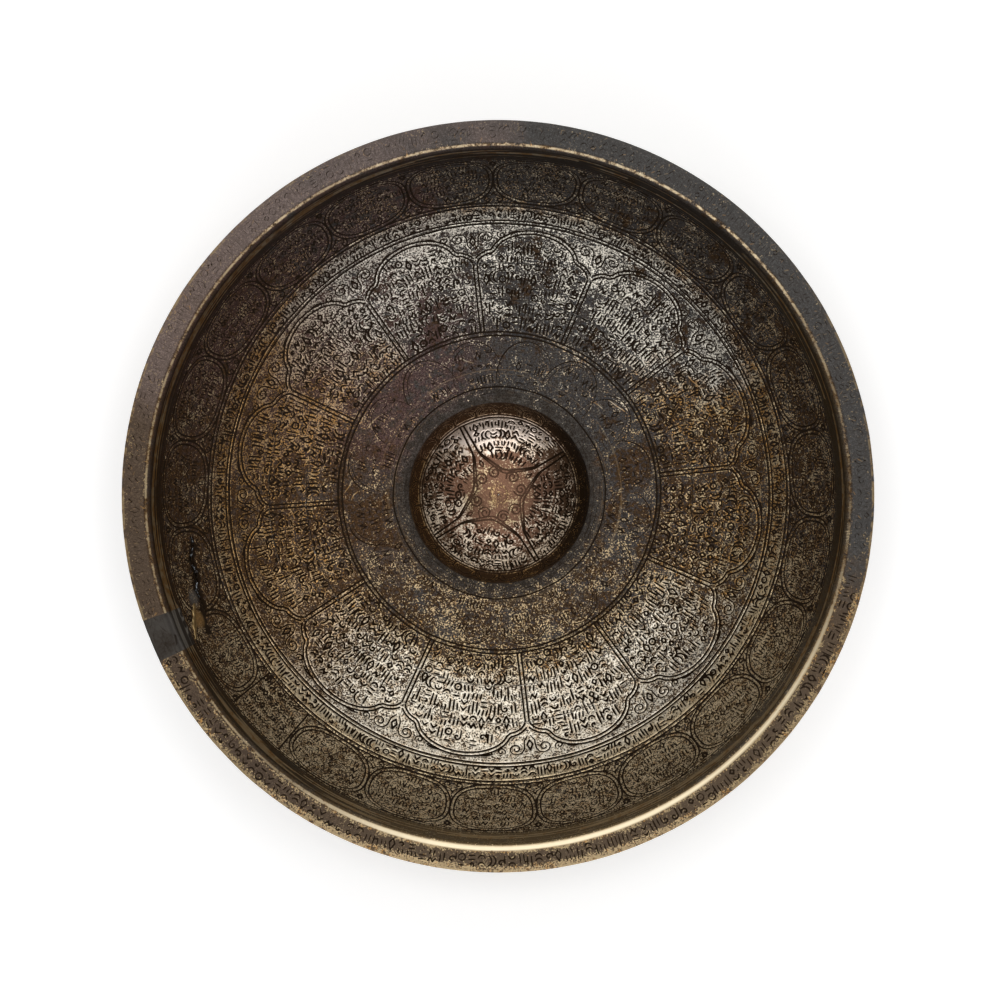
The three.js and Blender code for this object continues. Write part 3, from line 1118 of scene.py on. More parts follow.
def crack_depth(share):
    """Depth of the crack below the lip at a share of its length."""
    wander = 1 - 2 * share + np.sin(2 * math.pi * CRACK_WAVES * share) / 2
    return CRACK_DEPTH + CRACK_SWAY * wander


def cut_fissure(cuts, section):
    """The open crack that goes on beyond the solder towards the rim insert."""
    share = np.linspace(0.0, 1.6, CRACK_PLACES)
    depths = crack_depth(share) + 0.25 * np.sin(share * 47) + 0.15 * np.sin(share * 91)
    depths = depths - 2.2 * np.clip(share - 1, 0, None)
    angles = CRACK_START + (CRACK_END - CRACK_START) * share
    ways = ways_down(cuts.side, section, depths)
    for first, last, aside, half_width, taper in CRACK_CUTS:
        cuts.line(angles[first:last], ways[first:last] + aside, half_width, taper)


def fields(dividers):
    """Start and end of each field between dividers round the bowl, in degrees."""
    return zip(dividers, dividers[1:] + (dividers[0] + 360,))


def wall_cuts(sizes, section):
    """All cut lines of the wall."""
    cuts = Cuts(wall_side(section), sizes.cut_reach / MM, WALL_SEED)
    side = cuts.side
    for radius in (PANEL_FOOT, BAND_FOOT, BAND_TOP, TOP_LINE):
        cuts.double_ring(side.way_at(radius))
    for start, end in fields(DIVIDERS):
        cut_panel(cuts, start, end)
        cut_spandrel(cuts, start)
    for i in range(ROUNDEL_COUNT):
        cut_roundel(cuts, ROUNDEL_START + ROUNDEL_PITCH * (i + 0.5))
    gap_start = ROUNDEL_START + ROUNDEL_PITCH * ROUNDEL_COUNT - 360
    cut_gap_panel(cuts, gap_start + 0.4, ROUNDEL_START - 0.4)
    mark_row(cuts, side.way_at(BAND_FOOT) + LINE_PITCH, BAND_TALL, 0, 360, scale=0.88)
    cut_inner_zone(cuts)
    cut_fissure(cuts, section)
    return cuts


def wall_scratches(sizes, section):
    """Fine bright scratches: turned ones under the lip, strays on the floor and some at the old repair."""
    cuts = Cuts(wall_side(section), sizes.cut_reach / MM, SCRATCH_SEED)
    side, chance = cuts.side, cuts.random
    for way in ways_down(side, section, TURNED_DEPTHS):
        for _ in range(TURNED_ARCS):
            start = chance.uniform(0, 360)
            cuts.ring(way, SCRATCH_CUT, start, start + chance.uniform(50, 130), 0.2)
    cut_turned(cuts, count=30, inner=27.8, outer=34.0, short=12, long=50)
    cut_scratches(cuts, count=70, start=0, end=360, low=side.way_at(28.0), high=side.way_at(72.0))
    cut_scratches(cuts, count=14, start=195, end=210, low=side.way_at(76.0), high=side.way_at(84.0))
    share = np.linspace(0, 1, 14)
    for start, end, high, low in REPAIR_SCRATCHES:
        depths = high + (low - high) * share ** 1.6
        cuts.line(start + (end - start) * share, ways_down(side, section, depths), SCRATCH_CUT)
    return cuts


def rim_cuts(sizes, section):
    """The cut lines of the flat rim."""
    cuts = Cuts(rim_side(section), sizes.cut_reach / MM, RIM_SEED)
    inner, outer = section.wall + section.lip_width + LIP_GAP, section.rim - EDGE_GAP
    start, end = INSERT_END - 360 + INSERT_GAP, INSERT_START - INSERT_GAP
    foot, tall = cuts.side.way_at(inner) + 0.5, outer - inner - 0.9
    for low, high, width in ((start, RIM_WORN_FROM, RIM_CUT), (RIM_WORN_FROM, end, WORN_CUT)):
        mark_row(cuts, foot, tall, low, high, width, scale=1.05, gap=0.7)
    return cuts


def cut_rim_scratches(cuts, section):
    """Adds short fine scratches on the flat rim to lines that are gathered."""
    cuts.side = rim_side(section)
    chance = cuts.random
    for _ in range(RIM_SCRATCHES):
        way = cuts.side.way_at(chance.uniform(RIM_SCRATCH_START, RIM_SCRATCH_END))
        across, up = chance.uniform(-0.9, 0.9), chance.uniform(-1.3, 1.3)
        cuts.strokes(chance.uniform(0, 360), way, [[(0, 0), (across, up)]], SCRATCH_CUT, 0.25)


class Dome:
    """The boss in millimetres: a side that draws in to its foot, and half an ellipse up to a small land."""

    def __init__(self, sizes):
        self.radius = BOSS_HIGH.x / MM
        self.foot = BOSS_LOW.z / MM
        self.top = BOSS_HIGH.z / MM
        self.foot_height = sizes.boss_foot / MM
        self.undercut = sizes.boss_undercut / MM
        self.thickness = sizes.boss_thickness / MM
        self.land = PIN_HIGH.x / MM + SEAM_GAP
        self.middle = self.foot + self.foot_height
        self.high = (self.top - self.middle) / math.sqrt(1 - (self.land / self.radius) ** 2)

    def profile(self, inset, steps, foot_steps):
        """Points from the foot up to the land, moved inwards by an inset."""
        share = np.linspace(0, 1, foot_steps + 1)[:-1]
        bulge = self.undercut * (np.sin(share * math.pi / 2) - 1)
        side = zip(self.radius - inset + bulge, self.foot + self.foot_height * share)
        across, high = self.radius - inset, self.high - inset
        turn = np.linspace(0, math.acos(self.land / across), steps * 8)
        fine = np.stack([across * np.cos(turn), self.middle + high * np.sin(turn)], -1)
        way = np.concatenate([[0], np.cumsum(np.linalg.norm(np.diff(fine, axis=0), axis=1))])
        even = np.linspace(0, way[-1], steps + 1)
        dome = zip(np.interp(even, way, fine[:, 0]), np.interp(even, way, fine[:, 1]))
        return [*side, *dome]

    def side(self):
        """The outer side from the land outwards."""
        points = self.profile(inset=0, steps=200, foot_steps=1)[1:]
        radius, height = np.array(points[::-1]).T
        return Side(radius, height)


def cut_boss_panel(cuts, start, end):
    """One of the four fields of the boss: its swept inner border that ends in a cusp, and its rows."""
    side = cuts.side
    half, middle = (end - start) / 2, (start + end) / 2
    ring = side.way_at(BOSS_LINE) - 0.9
    arm, tip = side.way_at(BOSS_ARM), side.way_at(BOSS_CUSP)
    ways = np.linspace(ring, arm, 8)
    beside = half - np.degrees((LINE_PITCH / 2 + 0.03 * (ring - ways)) / side.radius_at(ways))
    share = np.linspace(0, 1, 16)[1:]
    bend = beside[-1] * (1 - share ** 1.5)
    fall = tip + (arm - tip) * (1 - share) ** 1.7
    edge_angles, edge_ways = np.concatenate([beside, bend]), np.concatenate([ways, fall])
    for inset, first, cut in ((0.0, 0, BOSS_CUT), (0.95, 6, FAINT_CUT)):
        far, down = edge_angles[first:], edge_ways[first:] - inset
        angles = np.concatenate([middle + far, middle - far[::-1]])
        cuts.line(angles, np.concatenate([down, down[::-1]]), cut)

    def inside(angles, ways):
        """Whether a mark lies within the field's border."""
        away = np.abs(np.asarray(angles) - middle)
        limit = np.interp(away, edge_angles[::-1], edge_ways[::-1], right=99.0)
        return (ways > limit + 0.5) & (away < half - np.degrees(0.95 / side.radius_at(ways)))

    for step, tall in ((0.8, 3.1), (4.3, 3.1), (7.8, 2.9), (11.0, 2.6)):
        way = ring - step - tall + 0.6
        mark_row(cuts, way, tall, middle - half + 1.5, middle + half - 1.5, BOSS_CUT, inside, 0.9)


def boss_cuts(sizes, dome):
    """The cut lines of the boss."""
    cuts = Cuts(dome.side(), sizes.cut_reach / MM, BOSS_SEED)
    side, chance = cuts.side, cuts.random
    cuts.double_ring(side.way_at(BOSS_LINE), BOSS_CUT)
    bud = [(0, -0.9), (-0.5, 0), (0, 1.2), (0.5, 0), (0, -0.9)]
    for start, end in fields(BOSS_DIVIDERS):
        cut_boss_panel(cuts, start, end)
        for turn in (-1, 1):
            scroll = spiral(0, 0, 1.9, 1.7, chance.uniform(0, 360), turn)
            cuts.strokes(start + turn * 19, side.way_at(BOSS_SCROLL), [scroll], FAINT_CUT, 0.1)
        cuts.strokes(start, side.way_at(BOSS_BUD), [bud], FAINT_CUT)
    high = side.way_at(BOSS_LINE) + 0.9
    wide = math.radians(180 / SCALLOPS) * SCALLOP_LINE
    scallop = [arc(0, 0, wide, 0, 180, 10, 1.5), arc(0, 0, wide - 1.1, 8, 172, 8, 1.45)]
    for i in range(SCALLOPS):
        cuts.strokes(i * 360 / SCALLOPS, high, scallop, FAINT_CUT, 0.2)
    cuts.ring(side.way_at(BOSS_FOOT_LINE), FAINT_CUT, sway=0.25)
    return cuts


def new_material(name, build, *args, **more):
    """A material that build sets up, made once."""
    material = bpy.data.materials.get(name)
    if material is None:
        material = bpy.data.materials.new(name)
        material.use_nodes = True
        tree = material.node_tree
        tree.nodes.clear()
        shader = build(Net(tree), *args, **more)
        out = tree.nodes.new("ShaderNodeOutputMaterial")
        tree.links.new(shader.socket, out.inputs["Surface"])
    return material


def metal(net, base, metallic, roughness, height, depth, specular=0.3):
    """A metal surface: its colour, how bare it is, its roughness and a fine relief of a depth in metres."""
    normal = net.node("ShaderNodeBump", values={"Height": height, "Distance": depth, "Strength": 1.0})
    return net.node("ShaderNodeBsdfPrincipled", values={
        "Base Color": base, "Metallic": metallic, "Roughness": roughness, "Normal": normal,
        "Specular IOR Level": specular,
    })


def surface_place(net):
    """The point of the piece in millimetres, its three parts and its distance from the axis."""
    place = net.scaled(net.node("ShaderNodeTexCoord", out="Object"), 1 / MM)
    x, y, z = net.apart(place)
    return place, (x, y, z), (x * x + y * y + 0.01) ** 0.5


def groove_masks(net):
    """Where a cut line is, the brink beside it and where a fine scratch is."""
    groove, line = (
        net.node("ShaderNodeAttribute", {"attribute_name": name}, out="Fac") for name in ("groove", "scratch")
    )
    cut = net.smooth(groove, -0.02, 0.012)
    brink = net.smooth(groove, -0.22, -0.05) * (1 - cut)
    return cut, brink, net.smooth(line, -0.03, 0.004)


def fine_mottle(net, grit, speck):
    """Mottling of the patina in grains of a few tenths of a millimetre."""
    return net.smooth(grit * 0.55 + speck * 0.45, 0.38, 0.62)


def smear(net, x, y, degrees, radius, long, wide):
    """A soft patch of filler on the wall, with its half length round the bowl and its half width."""
    east, north = math.cos(math.radians(degrees)), math.sin(math.radians(degrees))
    out = (x * east + y * north - radius) / wide
    along = (y * east - x * north) / long
    return net.fade(out * out + along * along, 0.1, 1.0)


def engraved_metal(net, colours):
    """Old brass under a dark patina, rubbed bright in specks, on the lip and beside the cut lines, with
    painted sheen, highlights and shade.
    """
    place, (x, y, z), radius = surface_place(net)
    cut, brink, scratch = groove_masks(net)
    east, north = x / radius, y / radius

    # Noises from the widest cloud to the finest grit
    cloud = net.noise(place, 0.035, 3.0, 0.6)
    drift = net.noise(place, 0.13, 4.0, 0.65, 31.0)
    dust = net.noise(place, 0.45, 3.0, 0.65, 57.0)
    chill = net.noise(place, 1.1, 2.0, 0.6, 43.0)
    speck = net.noise(place, 2.2, 2.0, 0.6, 7.0)
    grit = net.noise(place, 4.2, 2.0, 0.6, 91.0)
    sway = (cloud - 0.5) * 1.2
    mottle = fine_mottle(net, grit, speck)

    # Sides of the bowl, where +Y is the top of the photograph
    lower = net.smooth(0.02 * east - north + sway * 0.5, 0.0, 0.8)
    upper = net.smooth(0.15 * east + north + sway, 0.3, 0.85)
    left = net.smooth(0.74 * north - 0.67 * east + sway * 0.5, 0.7, 0.97)
    west = net.smooth(0 - east, 0.55, 0.9)
    deep = net.smooth(0 - north, 0.72, 0.97)
    ridge = net.smooth(north, 0.75, 0.95)
    corner = net.smooth((north + east) * 0.71, 0.85, 0.97)
    # Lit side: the lower right, towards which the painted light of the rim, collar and crest leans
    lit = net.smooth(0.4 * east - north, 0.45, 0.95)
    gilt = net.smooth(0.1 * east - north + (dust - 0.5) * 0.3, 0.22, 0.42)

    # Rings of the bowl, from the boss out to the edge of the rim
    beside_ring = net.fade(radius + (dust - 0.5) * 12, 26.0, 31.0)
    hollow = net.fade(radius, 32.0, 39.0)
    inner = net.fade(radius, 36.0, 52.0)
    panels = net.zone(radius, *PANEL_ZONE)
    outer = net.smooth(radius, 59.0, 65.0) * panels
    strip = net.zone(radius, *STRIP_ZONE)
    wall = net.zone(radius, *WALL_ZONE)
    collar = net.zone(radius, *COLLAR_ZONE)
    rim = net.smooth(radius, 93.6, 94.4)
    edge = net.smooth(radius, 99.0, 99.5) * net.smooth(z, 36.0, 38.0)
    aside = net.math("ABSOLUTE", radius - CREST)
    # The crest band leans towards the lit side, where the painted highlight of the lip lies
    off_crest = aside + 0.28 * (1 - lit) + 0.06 * west - 0.05 * lit - 0.1 * lit * deep
    core = net.fade(aside - 0.25 * deep, 0.1, 0.42)
    crest = net.fade(off_crest, 0.42, 0.78) * net.smooth(z, 38.5, 39.5)

    # Colour of the patina
    patina = net.mix(colours.brown, colours.rust, net.smooth(dust - upper * 0.2, 0.5, 0.6) * 0.5)
    cool = net.smooth(drift + upper * 0.14 + inner * 0.03, 0.5, 0.6)
    patina = net.mix(patina, colours.slate, cool * 0.75)
    patina = net.mix(patina, colours.steel, net.smooth(chill, 0.5, 0.58) * 0.5)
    patina = net.mix(patina, colours.rust, west * 0.3)
    ground = net.mix(colours.slate, colours.olive, net.most(west, gilt) * 0.85)
    patina = net.mix(patina, ground, rim * 0.93)
    patina = net.mix(patina, colours.plum, left * net.most(net.smooth(dust, 0.34, 0.56), rim) * 0.75)
    # Painted sheen: a little light tint on the upper left of the rim
    patina = net.mix(patina, colours.pale, left * rim * 0.13)
    # Painted light: stain lightens the collar under the lip on the lit, lower and east sides, the rim on the
    # lit side and the lower wall
    painted_collar_light = lit * (0.3 + 0.35 * deep) + (0.4 * net.smooth(east, 0.6, 0.95) + 0.3 * lower) * (1 - lit)
    patina = net.mix(patina, colours.stain, collar * painted_collar_light + rim * lit * 0.12 + wall * lower * 0.08)
    patina = net.mix(patina, colours.solder, beside_ring * 0.8)
    # Painted light: less soot on the collar on the lit side
    mottle = net.most(mottle, rim * (0.45 + 0.15 * lit) + 0.45 * collar * lit)
    # Painted shade: the collar darkens away from the lit side; the floor beside the solder ring darkens in
    # clouds
    depth = (1 - 0.65 * collar * (1 - lit)) * (1 - 0.45 * beside_ring * net.fade(dust, 0.42, 0.6))
    patina = net.mix(colours.soot, patina, (0.15 + 0.85 * mottle) * depth)

    # Colour of the bare metal, with a light painted sheen on the lower and upper panels and the lower wall
    painted_sheen = panels * (0.7 * lower + 0.6 * upper + 0.4 * left) + wall * 0.3 * lower + 0.4 * upper
    painted_sheen = net.smooth(painted_sheen + (dust - 0.5) * 0.9, 0.25, 0.85)
    bright = net.mix(colours.ochre, colours.gold, net.smooth(dust + lower * 0.1, 0.44, 0.6))
    bright = net.mix(bright, colours.pale, painted_sheen)
    bright = net.mix(bright, colours.plum, left * 0.2)
    bright = net.mix(bright, colours.ochre, west * panels * 0.6)
    bright = net.mix(bright, colours.stain, rim * net.smooth(dust, 0.4, 0.56) * (0.75 - 0.35 * deep))
    tarnish = net.fade(chill * 0.6 + speck * 0.4, 0.4, 0.6)
    bright = net.mix(bright, colours.stain, tarnish * lower * panels * (0.7 - 0.25 * deep))

    # How easily each place wears, and the specks that are worn; the extra bare specks on the lower side are
    # partly a painted highlight
    ease = panels * (0.015 + 0.065 * lower + 0.04 * deep + 0.065 * left - 0.015 * west + 0.03 * corner)
    ease = ease + inner * (0.05 * lower + 0.015 * deep - 0.02) - 0.045 * beside_ring * (1 - 0.3 * deep)
    ease = ease + ridge * panels * (radius - 60) * 0.0035
    ease = ease + strip * (0.05 + 0.05 * lower * (1 - deep)) + 0.02 * outer
    ease = ease + wall * (0.09 * lower + 0.02 * net.smooth(east, 0.5, 0.9) + 0.01)
    border = net.most(net.smooth(radius, 97.0, 98.8), net.fade(radius, 94.2, 95.6))
    ease = ease + rim * (0.06 * border + gilt * (0.04 + 0.03 * deep + 0.1 * border) - 0.09)
    # Painted shade: fewer bare specks on the collar away from the lit side and on its west
    ease = ease - 0.12 * collar * (1 - lit) - 0.1 * west * collar
    ease = ease + (drift - 0.5) * (0.3 + 0.35 * upper * panels - 0.15 * lower) + (dust - 0.5) * 0.25
    ease = ease + brink * (0.03 + 0.06 * panels) - 0.05
    ease = net.least(ease, 0.07 + 0.12 * lower)
    wear = net.smooth(speck * 0.7 + grit * 0.3 + ease, 0.53, 0.61) * (0.78 + 0.22 * mottle)

    # Polish of the wall and of the crest of the lip, partly a painted highlight: brighter on the lower wall
    # and narrow band, and along the crest towards the lit side over real rubbed brass
    bright = net.mix(bright, colours.polish, wall * (0.08 + 0.15 * lower) + strip * lower * 0.25)
    # Painted highlight along the crest, strongest on the lit side, over rubbed brass
    crest_highlight = net.least(0.3 + 0.7 * lit + 0.6 * upper - 0.25 * ridge + 0.45 * west, 1.0)
    grain = dust * 0.7 + speck * 0.3 + (0.12 + 0.12 * core) * lit
    rubbed = crest * crest_highlight * net.smooth(grain, 0.36, 0.54)
    bright = net.mix(bright, colours.gold, rubbed * 0.8)
    bright = net.mix(bright, colours.polish, rubbed * (0.3 + 0.6 * core) * (0.5 + 0.5 * lit - 0.3 * west))
    wear = net.most(wear, rubbed)
    wear = net.most(wear, edge * (1 - upper) * net.smooth(dust, 0.42, 0.55) * 0.8)
    scratched = scratch * (0.75 - 0.4 * wall - 0.66 * hollow - 0.4 * rim)
    wear = net.most(wear * (1 - cut * 0.95), scratched)

    # The whole: patina, bare metal, dirt in the cuts and the smears of the repair
    base = net.mix(patina, bright, wear)
    base = net.mix(base, colours.soot, cut * 0.92)
    base = net.mix(base, colours.solder, smear(net, x, y, *SOLDER_SMEAR) * 0.7)
    base = net.mix(base, colours.braze, smear(net, x, y, *BRAZE_SMEAR) * 0.75)
    metallic = 0.5 + (0.5 - 0.35 * wall) * wear + (0.5 * lower * panels - 0.1) * cut
    # Lower metallic on the lit crest, so that its painted highlight stays bright under any light
    metallic = metallic - 0.4 * rubbed * lit * core
    roughness = 0.56 - 0.18 * wear + 0.25 * cut + (grit - 0.5) * 0.2
    return metal(net, base, metallic, roughness, grit * 0.6 + speck * 0.4, ENGRAVED_GRAIN, specular=0.12)


def boss_metal(net, colours):
    """Coppery brown brass of the boss, dark on its steep side with painted shade there and on the east, a
    painted silvery highlight above, a painted glint over worn specks below, and worn golden on its crown.
    """
    place, (x, y, _), radius = surface_place(net)
    cut, brink, _ = groove_masks(net)
    east, north = x / radius, y / radius
    cloud = net.noise(place, 0.09, 3.0, 0.6)
    dust = net.noise(place, 0.4, 3.0, 0.6, 3.0)
    speck = net.noise(place, 2.0, 2.0, 0.6, 17.0)
    grit = net.noise(place, 4.2, 2.0, 0.6, 9.0)
    mottle = fine_mottle(net, grit, speck)

    # Parts of the boss: its steep side, its field and its crown
    steep = net.smooth(radius, 20.4, 22.0)
    field = net.smooth(radius, 7.5, 11.5) * (1 - steep)
    crown = net.fade(radius + (dust - 0.5) * 5, 2.4, 5.0)
    # Painted shade on the east and lower side of the steep side, and on the east of the field
    shade = steep * net.smooth(east + 0.1 * north, 0.1, 1.0)
    east_shade = field * net.smooth(east, 0.4, 1.0)
    south_shade = steep * net.smooth(0 - north, 0.2, 0.9)
    # Lower half of the field: worn specks with a painted golden glint
    lower_wear_and_glint = field * net.smooth(0.8 * dust - north, 0.15, 0.8)
    # Painted highlight: a light sheen on the upper side of the boss, away from its crown
    height = 1.05 * north - 0.05 * east + (radius - 15.0) * 0.05 + (dust - 0.5)
    painted_sheen = net.smooth(height, 0.68, 1.08) * (1 - crown)

    # Colours of the patina and of the bare metal
    patina = net.mix(colours.copper, colours.brown, net.smooth(cloud, 0.48, 0.62) * 0.6)
    patina = net.mix(patina, colours.brown, net.smooth(radius, 12.0, 19.0) * (1 - painted_sheen) * 0.8)
    patina = net.mix(patina, colours.rust, steep * 0.8)
    # Painted shade: soot darkens the steep side, most on its east and lower side, and the east of the field
    depth = (1 - 0.4 * steep - 0.15 * south_shade) * (1 - 0.85 * shade) * (1 - 0.4 * east_shade)
    patina = net.mix(colours.soot, patina, (0.55 + 0.45 * mottle) * depth)
    # Blush on the field, and as a painted highlight on the top; a painted glint of polish on the lower half
    bright = net.mix(colours.gold, colours.blush, net.most(painted_sheen, 0.6 * field))
    bright = net.mix(bright, colours.polish, lower_wear_and_glint * 0.2)
    bright = net.mix(bright, colours.ochre, net.most(crown * 0.5, steep * 0.7))

    # Wear in specks, and dirt in the cuts
    ease = field * (0.015 + 0.2 * painted_sheen) + 0.05 * lower_wear_and_glint + 0.05 * crown
    # Painted shade: fewer bare specks on the shaded steep side
    ease = ease - steep * (0.02 + 0.1 * shade) - 0.05 * south_shade
    ease = ease + (dust - 0.5) * 0.5 + (cloud - 0.5) * 0.4 + brink * (0.02 + 0.12 * steep) - 0.03
    wear = net.smooth(speck * 0.7 + grit * 0.3 + ease, 0.53, 0.61) * (1 - cut * 0.95)
    base = net.mix(patina, bright, wear)
    base = net.mix(base, colours.soot, cut * (0.5 + 0.42 * field))
    # Lower metallic on the worn lower half, so that its painted glint stays bright
    metallic = 0.6 + 0.4 * wear + 0.25 * cut * field - 0.45 * wear * lower_wear_and_glint
    roughness = 0.46 - 0.08 * wear + 0.3 * cut + (grit - 0.5) * 0.2
    return metal(net, base, metallic, roughness, grit * 0.6 + speck * 0.4, ENGRAVED_GRAIN, specular=0.2)


def plain_metal(net, base_colour, dark_colour, metallic, rough, scale, cover, engraved=False):
    """A dull metal with darker clouds, and with cut lines and fine scratches on a piece that has them."""
    place, (_, _, z), radius = surface_place(net)
    cloud = net.noise(place, scale * 0.15, 3.0, 0.6)
    speck = net.noise(place, scale, 3.0, 0.65, 5.0)
    around = net.joined(radius * 2.2, z * 2.0, cloud * 1.5)
    streak = net.noise(around, 1.0, 2.0, 0.6)
    shade = net.smooth(cloud * 0.6 + speck * 0.3 + streak * 0.25, cover, 0.72)
    base = net.mix(dark_colour, base_colour, shade)
    roughness = rough + (speck - 0.5) * 0.25
    if engraved:
        cut, _, scratch = groove_masks(net)
        base = net.mix(base, dark_colour, cut * 0.7)
        base = net.mix(base, SCRATCH_TINT, scratch * 0.5)
        roughness = roughness + cut * 0.1
    return metal(net, base, metallic, roughness, speck * 0.6 + streak * 0.4, PLAIN_GRAIN)


def studio_floor(net, tone):
    """Pale floor that stays white to the camera and in reflections, and keeps the shadow."""
    cloth = net.node("ShaderNodeBsdfDiffuse", values={"Color": rgb(tone)})
    path = net.node("ShaderNodeLightPath", out="Is Camera Ray")
    seen = path.socket.node.outputs
    mirrored = net.most(Wire(net, seen["Is Glossy Ray"]), Wire(net, seen["Is Transmission Ray"]))
    glowing = {"Color": rgb(WHITE), "Strength": path * FLOOR_GLOW + mirrored}
    glow = net.node("ShaderNodeEmission", values=glowing)
    return net.node("ShaderNodeAddShader", values={0: cloth, 1: glow})


def brass(context):
    """The engraved brass of the bowl, which its rim, its rings and the solder ring share."""
    return new_material("patinated_brass", engraved_metal, context.scene.bowl_colours)


def boss_brass(context):
    """The brass of the boss and its pin."""
    return new_material("coppery_brass", boss_metal, context.scene.bowl_colours)


def finish_piece(piece, node):
    """Makes a finished piece ride on the bowl and hides the node that it stands for."""
    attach(piece, "root")
    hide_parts(node)


def engrave(piece, sizes, material, lines, scratches=None, ground=0.0, rules=(), dents=1.0):
    """Runs the engraving tree on a piece, after any other trees."""
    values = {
        "Lines": lines, "Scratches": scratches, "Reach": sizes.cut_reach, "Cut Depth": sizes.cut_depth,
        "Dent Depth": sizes.dent_depth * dents, "Dent Size": sizes.dent_size, "Ground Height": ground,
        "Material": material,
    }
    run_rules(piece, [*rules, (tree_named("Engraved Surface", engraving_rule), values)])


def engrave_with(piece, sizes, material, *gathered, **more):
    """Engraves a piece with gathered lines, and scratches if there are any, that no other piece needs."""
    networks = [cuts.network("lines_of_" + piece.name) for cuts in gathered]
    engrave(piece, sizes, material, *networks, **more)
    for network in networks:
        remove(network)


def grain_of(sizes):
    return sizes.grain * 1.0


def columns_round(radius, sizes):
    """How many columns a ring of this radius has."""
    return round(2 * math.pi * radius / grain_of(sizes))


def turned_object(name, profile, columns, *ends):
    """An object turned from a closed profile, whole or between two angles."""
    return new_object(name, turned(name, profile, columns, *ends))


def remove(piece):
    """Deletes an object that only helped to make others."""
    mesh = piece.data
    bpy.data.objects.remove(piece)
    bpy.data.meshes.remove(mesh)


def rim_profile(section, low, grain):
    """Closed profile of the lip, the flat rim and the upper wall down to a depth, in millimetres."""
    lip, rise = LIP_ROUND, section.height - section.rim_top
    crest = section.radius(lip) + lip
    width = section.wall + section.lip_width - crest
    outer = section.rim - EDGE_ROUND
    falls = [i / 5 for i in range(5, 0, -1)]
    fall = [(crest + width * s, section.rim_top + rise * (1 + math.cos(math.pi * s)) / 2) for s in falls]
    edge = arc(outer, section.rim_top - EDGE_ROUND, EDGE_ROUND, 0, 90, 4)
    flat = stretch((outer, section.rim_top), (crest + width, section.rim_top), grain)[1:-1]
    round_in = arc(crest, section.height - lip, lip, 90, 180, 7)
    wall = [(section.radius(depth), section.height - depth) for depth in np.linspace(lip, low, 10)[1:]]
    under = section.rim_top - section.rim_thickness
    fillet_depth = section.height - under + UNDER_FILLET
    outside = [section.outside(depth) for depth in np.linspace(low, fillet_depth, 3)]
    foot = outside[-1]
    fillet = arc(foot[0] + UNDER_FILLET, foot[1], UNDER_FILLET, 180, 90, 5)[1:]
    skirt = [(outer, under), (section.rim, under + EDGE_ROUND)]
    return edge + flat + fall + round_in + wall + outside + fillet + skirt


def add_camera(scene):
    """The camera, almost straight above the bowl."""
    data = bpy.data.cameras.new("view_from_above")
    data.sensor_width = CAMERA_SENSOR
    data.lens = CAMERA_LENS
    data.clip_end = CAMERA_REACH
    data.shift_x, data.shift_y = CAMERA_SHIFT
    camera = new_object("view_from_above", data)
    aim = np.array([CAMERA_SIDE, CAMERA_LEAN, 1.0])
    aim = aim / np.linalg.norm(aim) * CAMERA_DISTANCE
    camera.location = (aim[0], aim[1], aim[2] + BOWL_HIGH.z)
    camera.rotation_euler = (-math.asin(aim[1] / CAMERA_DISTANCE), math.asin(aim[0] / CAMERA_DISTANCE), 0)
    scene.camera = camera


def add_floor(colours):
    """The round floor of the studio, just under the bowl."""
    turns = np.arange(FLOOR_CORNERS) * 2 * math.pi / FLOOR_CORNERS
    corners = [(FLOOR_RADIUS * math.cos(a), FLOOR_RADIUS * math.sin(a), -FLOOR_DROP) for a in turns]
    floor = new_object("studio_floor", bpy.data.meshes.new("studio_floor"))
    floor.data.from_pydata(corners, [], [list(range(FLOOR_CORNERS))])
    floor.data.materials.append(new_material("pale_floor", studio_floor, colours.floor))


def add_lamp(name, place, size, power, tint):
    """A soft lamp that is aimed at the bowl."""
    lamp = bpy.data.lights.new(name, "AREA")
    lamp.shape = "RECTANGLE"
    lamp.size, lamp.size_y = size
    lamp.energy = power
    lamp.color = tint
    holder = new_object(name, lamp)
    holder.location = place
    direction = -holder.location
    holder.rotation_euler = direction.to_track_quat("-Z", "Y").to_euler()


def add_world(scene):
    """Even white light from all round."""
    world = bpy.data.worlds.new("studio_air")
    world.use_nodes = True
    air = world.node_tree.nodes["Background"]
    air.inputs["Color"].default_value = rgb(WHITE)
    air.inputs["Strength"].default_value = WORLD_LEVEL
    scene.world = world


class BOWL_OT_stage(bpy.types.Operator):
    """Adds the camera, the floor, the lamps and the world"""

    bl_idname = "bowl.stage"
    bl_label = "Stage"

    def execute(self, context):
        scene = context.scene
        add_camera(scene)
        add_floor(scene.bowl_colours)
        for lamp in LAMPS:
            add_lamp(*lamp)
        add_world(scene)
        scene.view_settings.view_transform = "Standard"
        return {"FINISHED"}


class BOWL_OT_rim(bpy.types.Operator):
    """Builds the raised lip, the flat engraved rim and the plain wall under it"""

    bl_idname = "bowl.rim"
    bl_label = "Rim"

    def execute(self, context):
        sizes = context.scene.bowl_sizes
        section = Section(sizes)
        profile = rim_profile(section, SEAM_DEPTH, grain_of(sizes))
        gap = math.degrees(SEAM_GAP / section.wall)
        columns = round(columns_round(section.rim, sizes) * RIM_COARSE)
        rim = turned_object("bowl_rim", profile, columns, INSERT_END + gap, 360 + INSERT_START - gap)
        scratches = wall_scratches(sizes, section)
        cut_rim_scratches(scratches, section)
        engrave_with(rim, sizes, brass(context), rim_cuts(sizes, section), scratches)
        finish_piece(rim, "bowl_body")
        return {"FINISHED"}


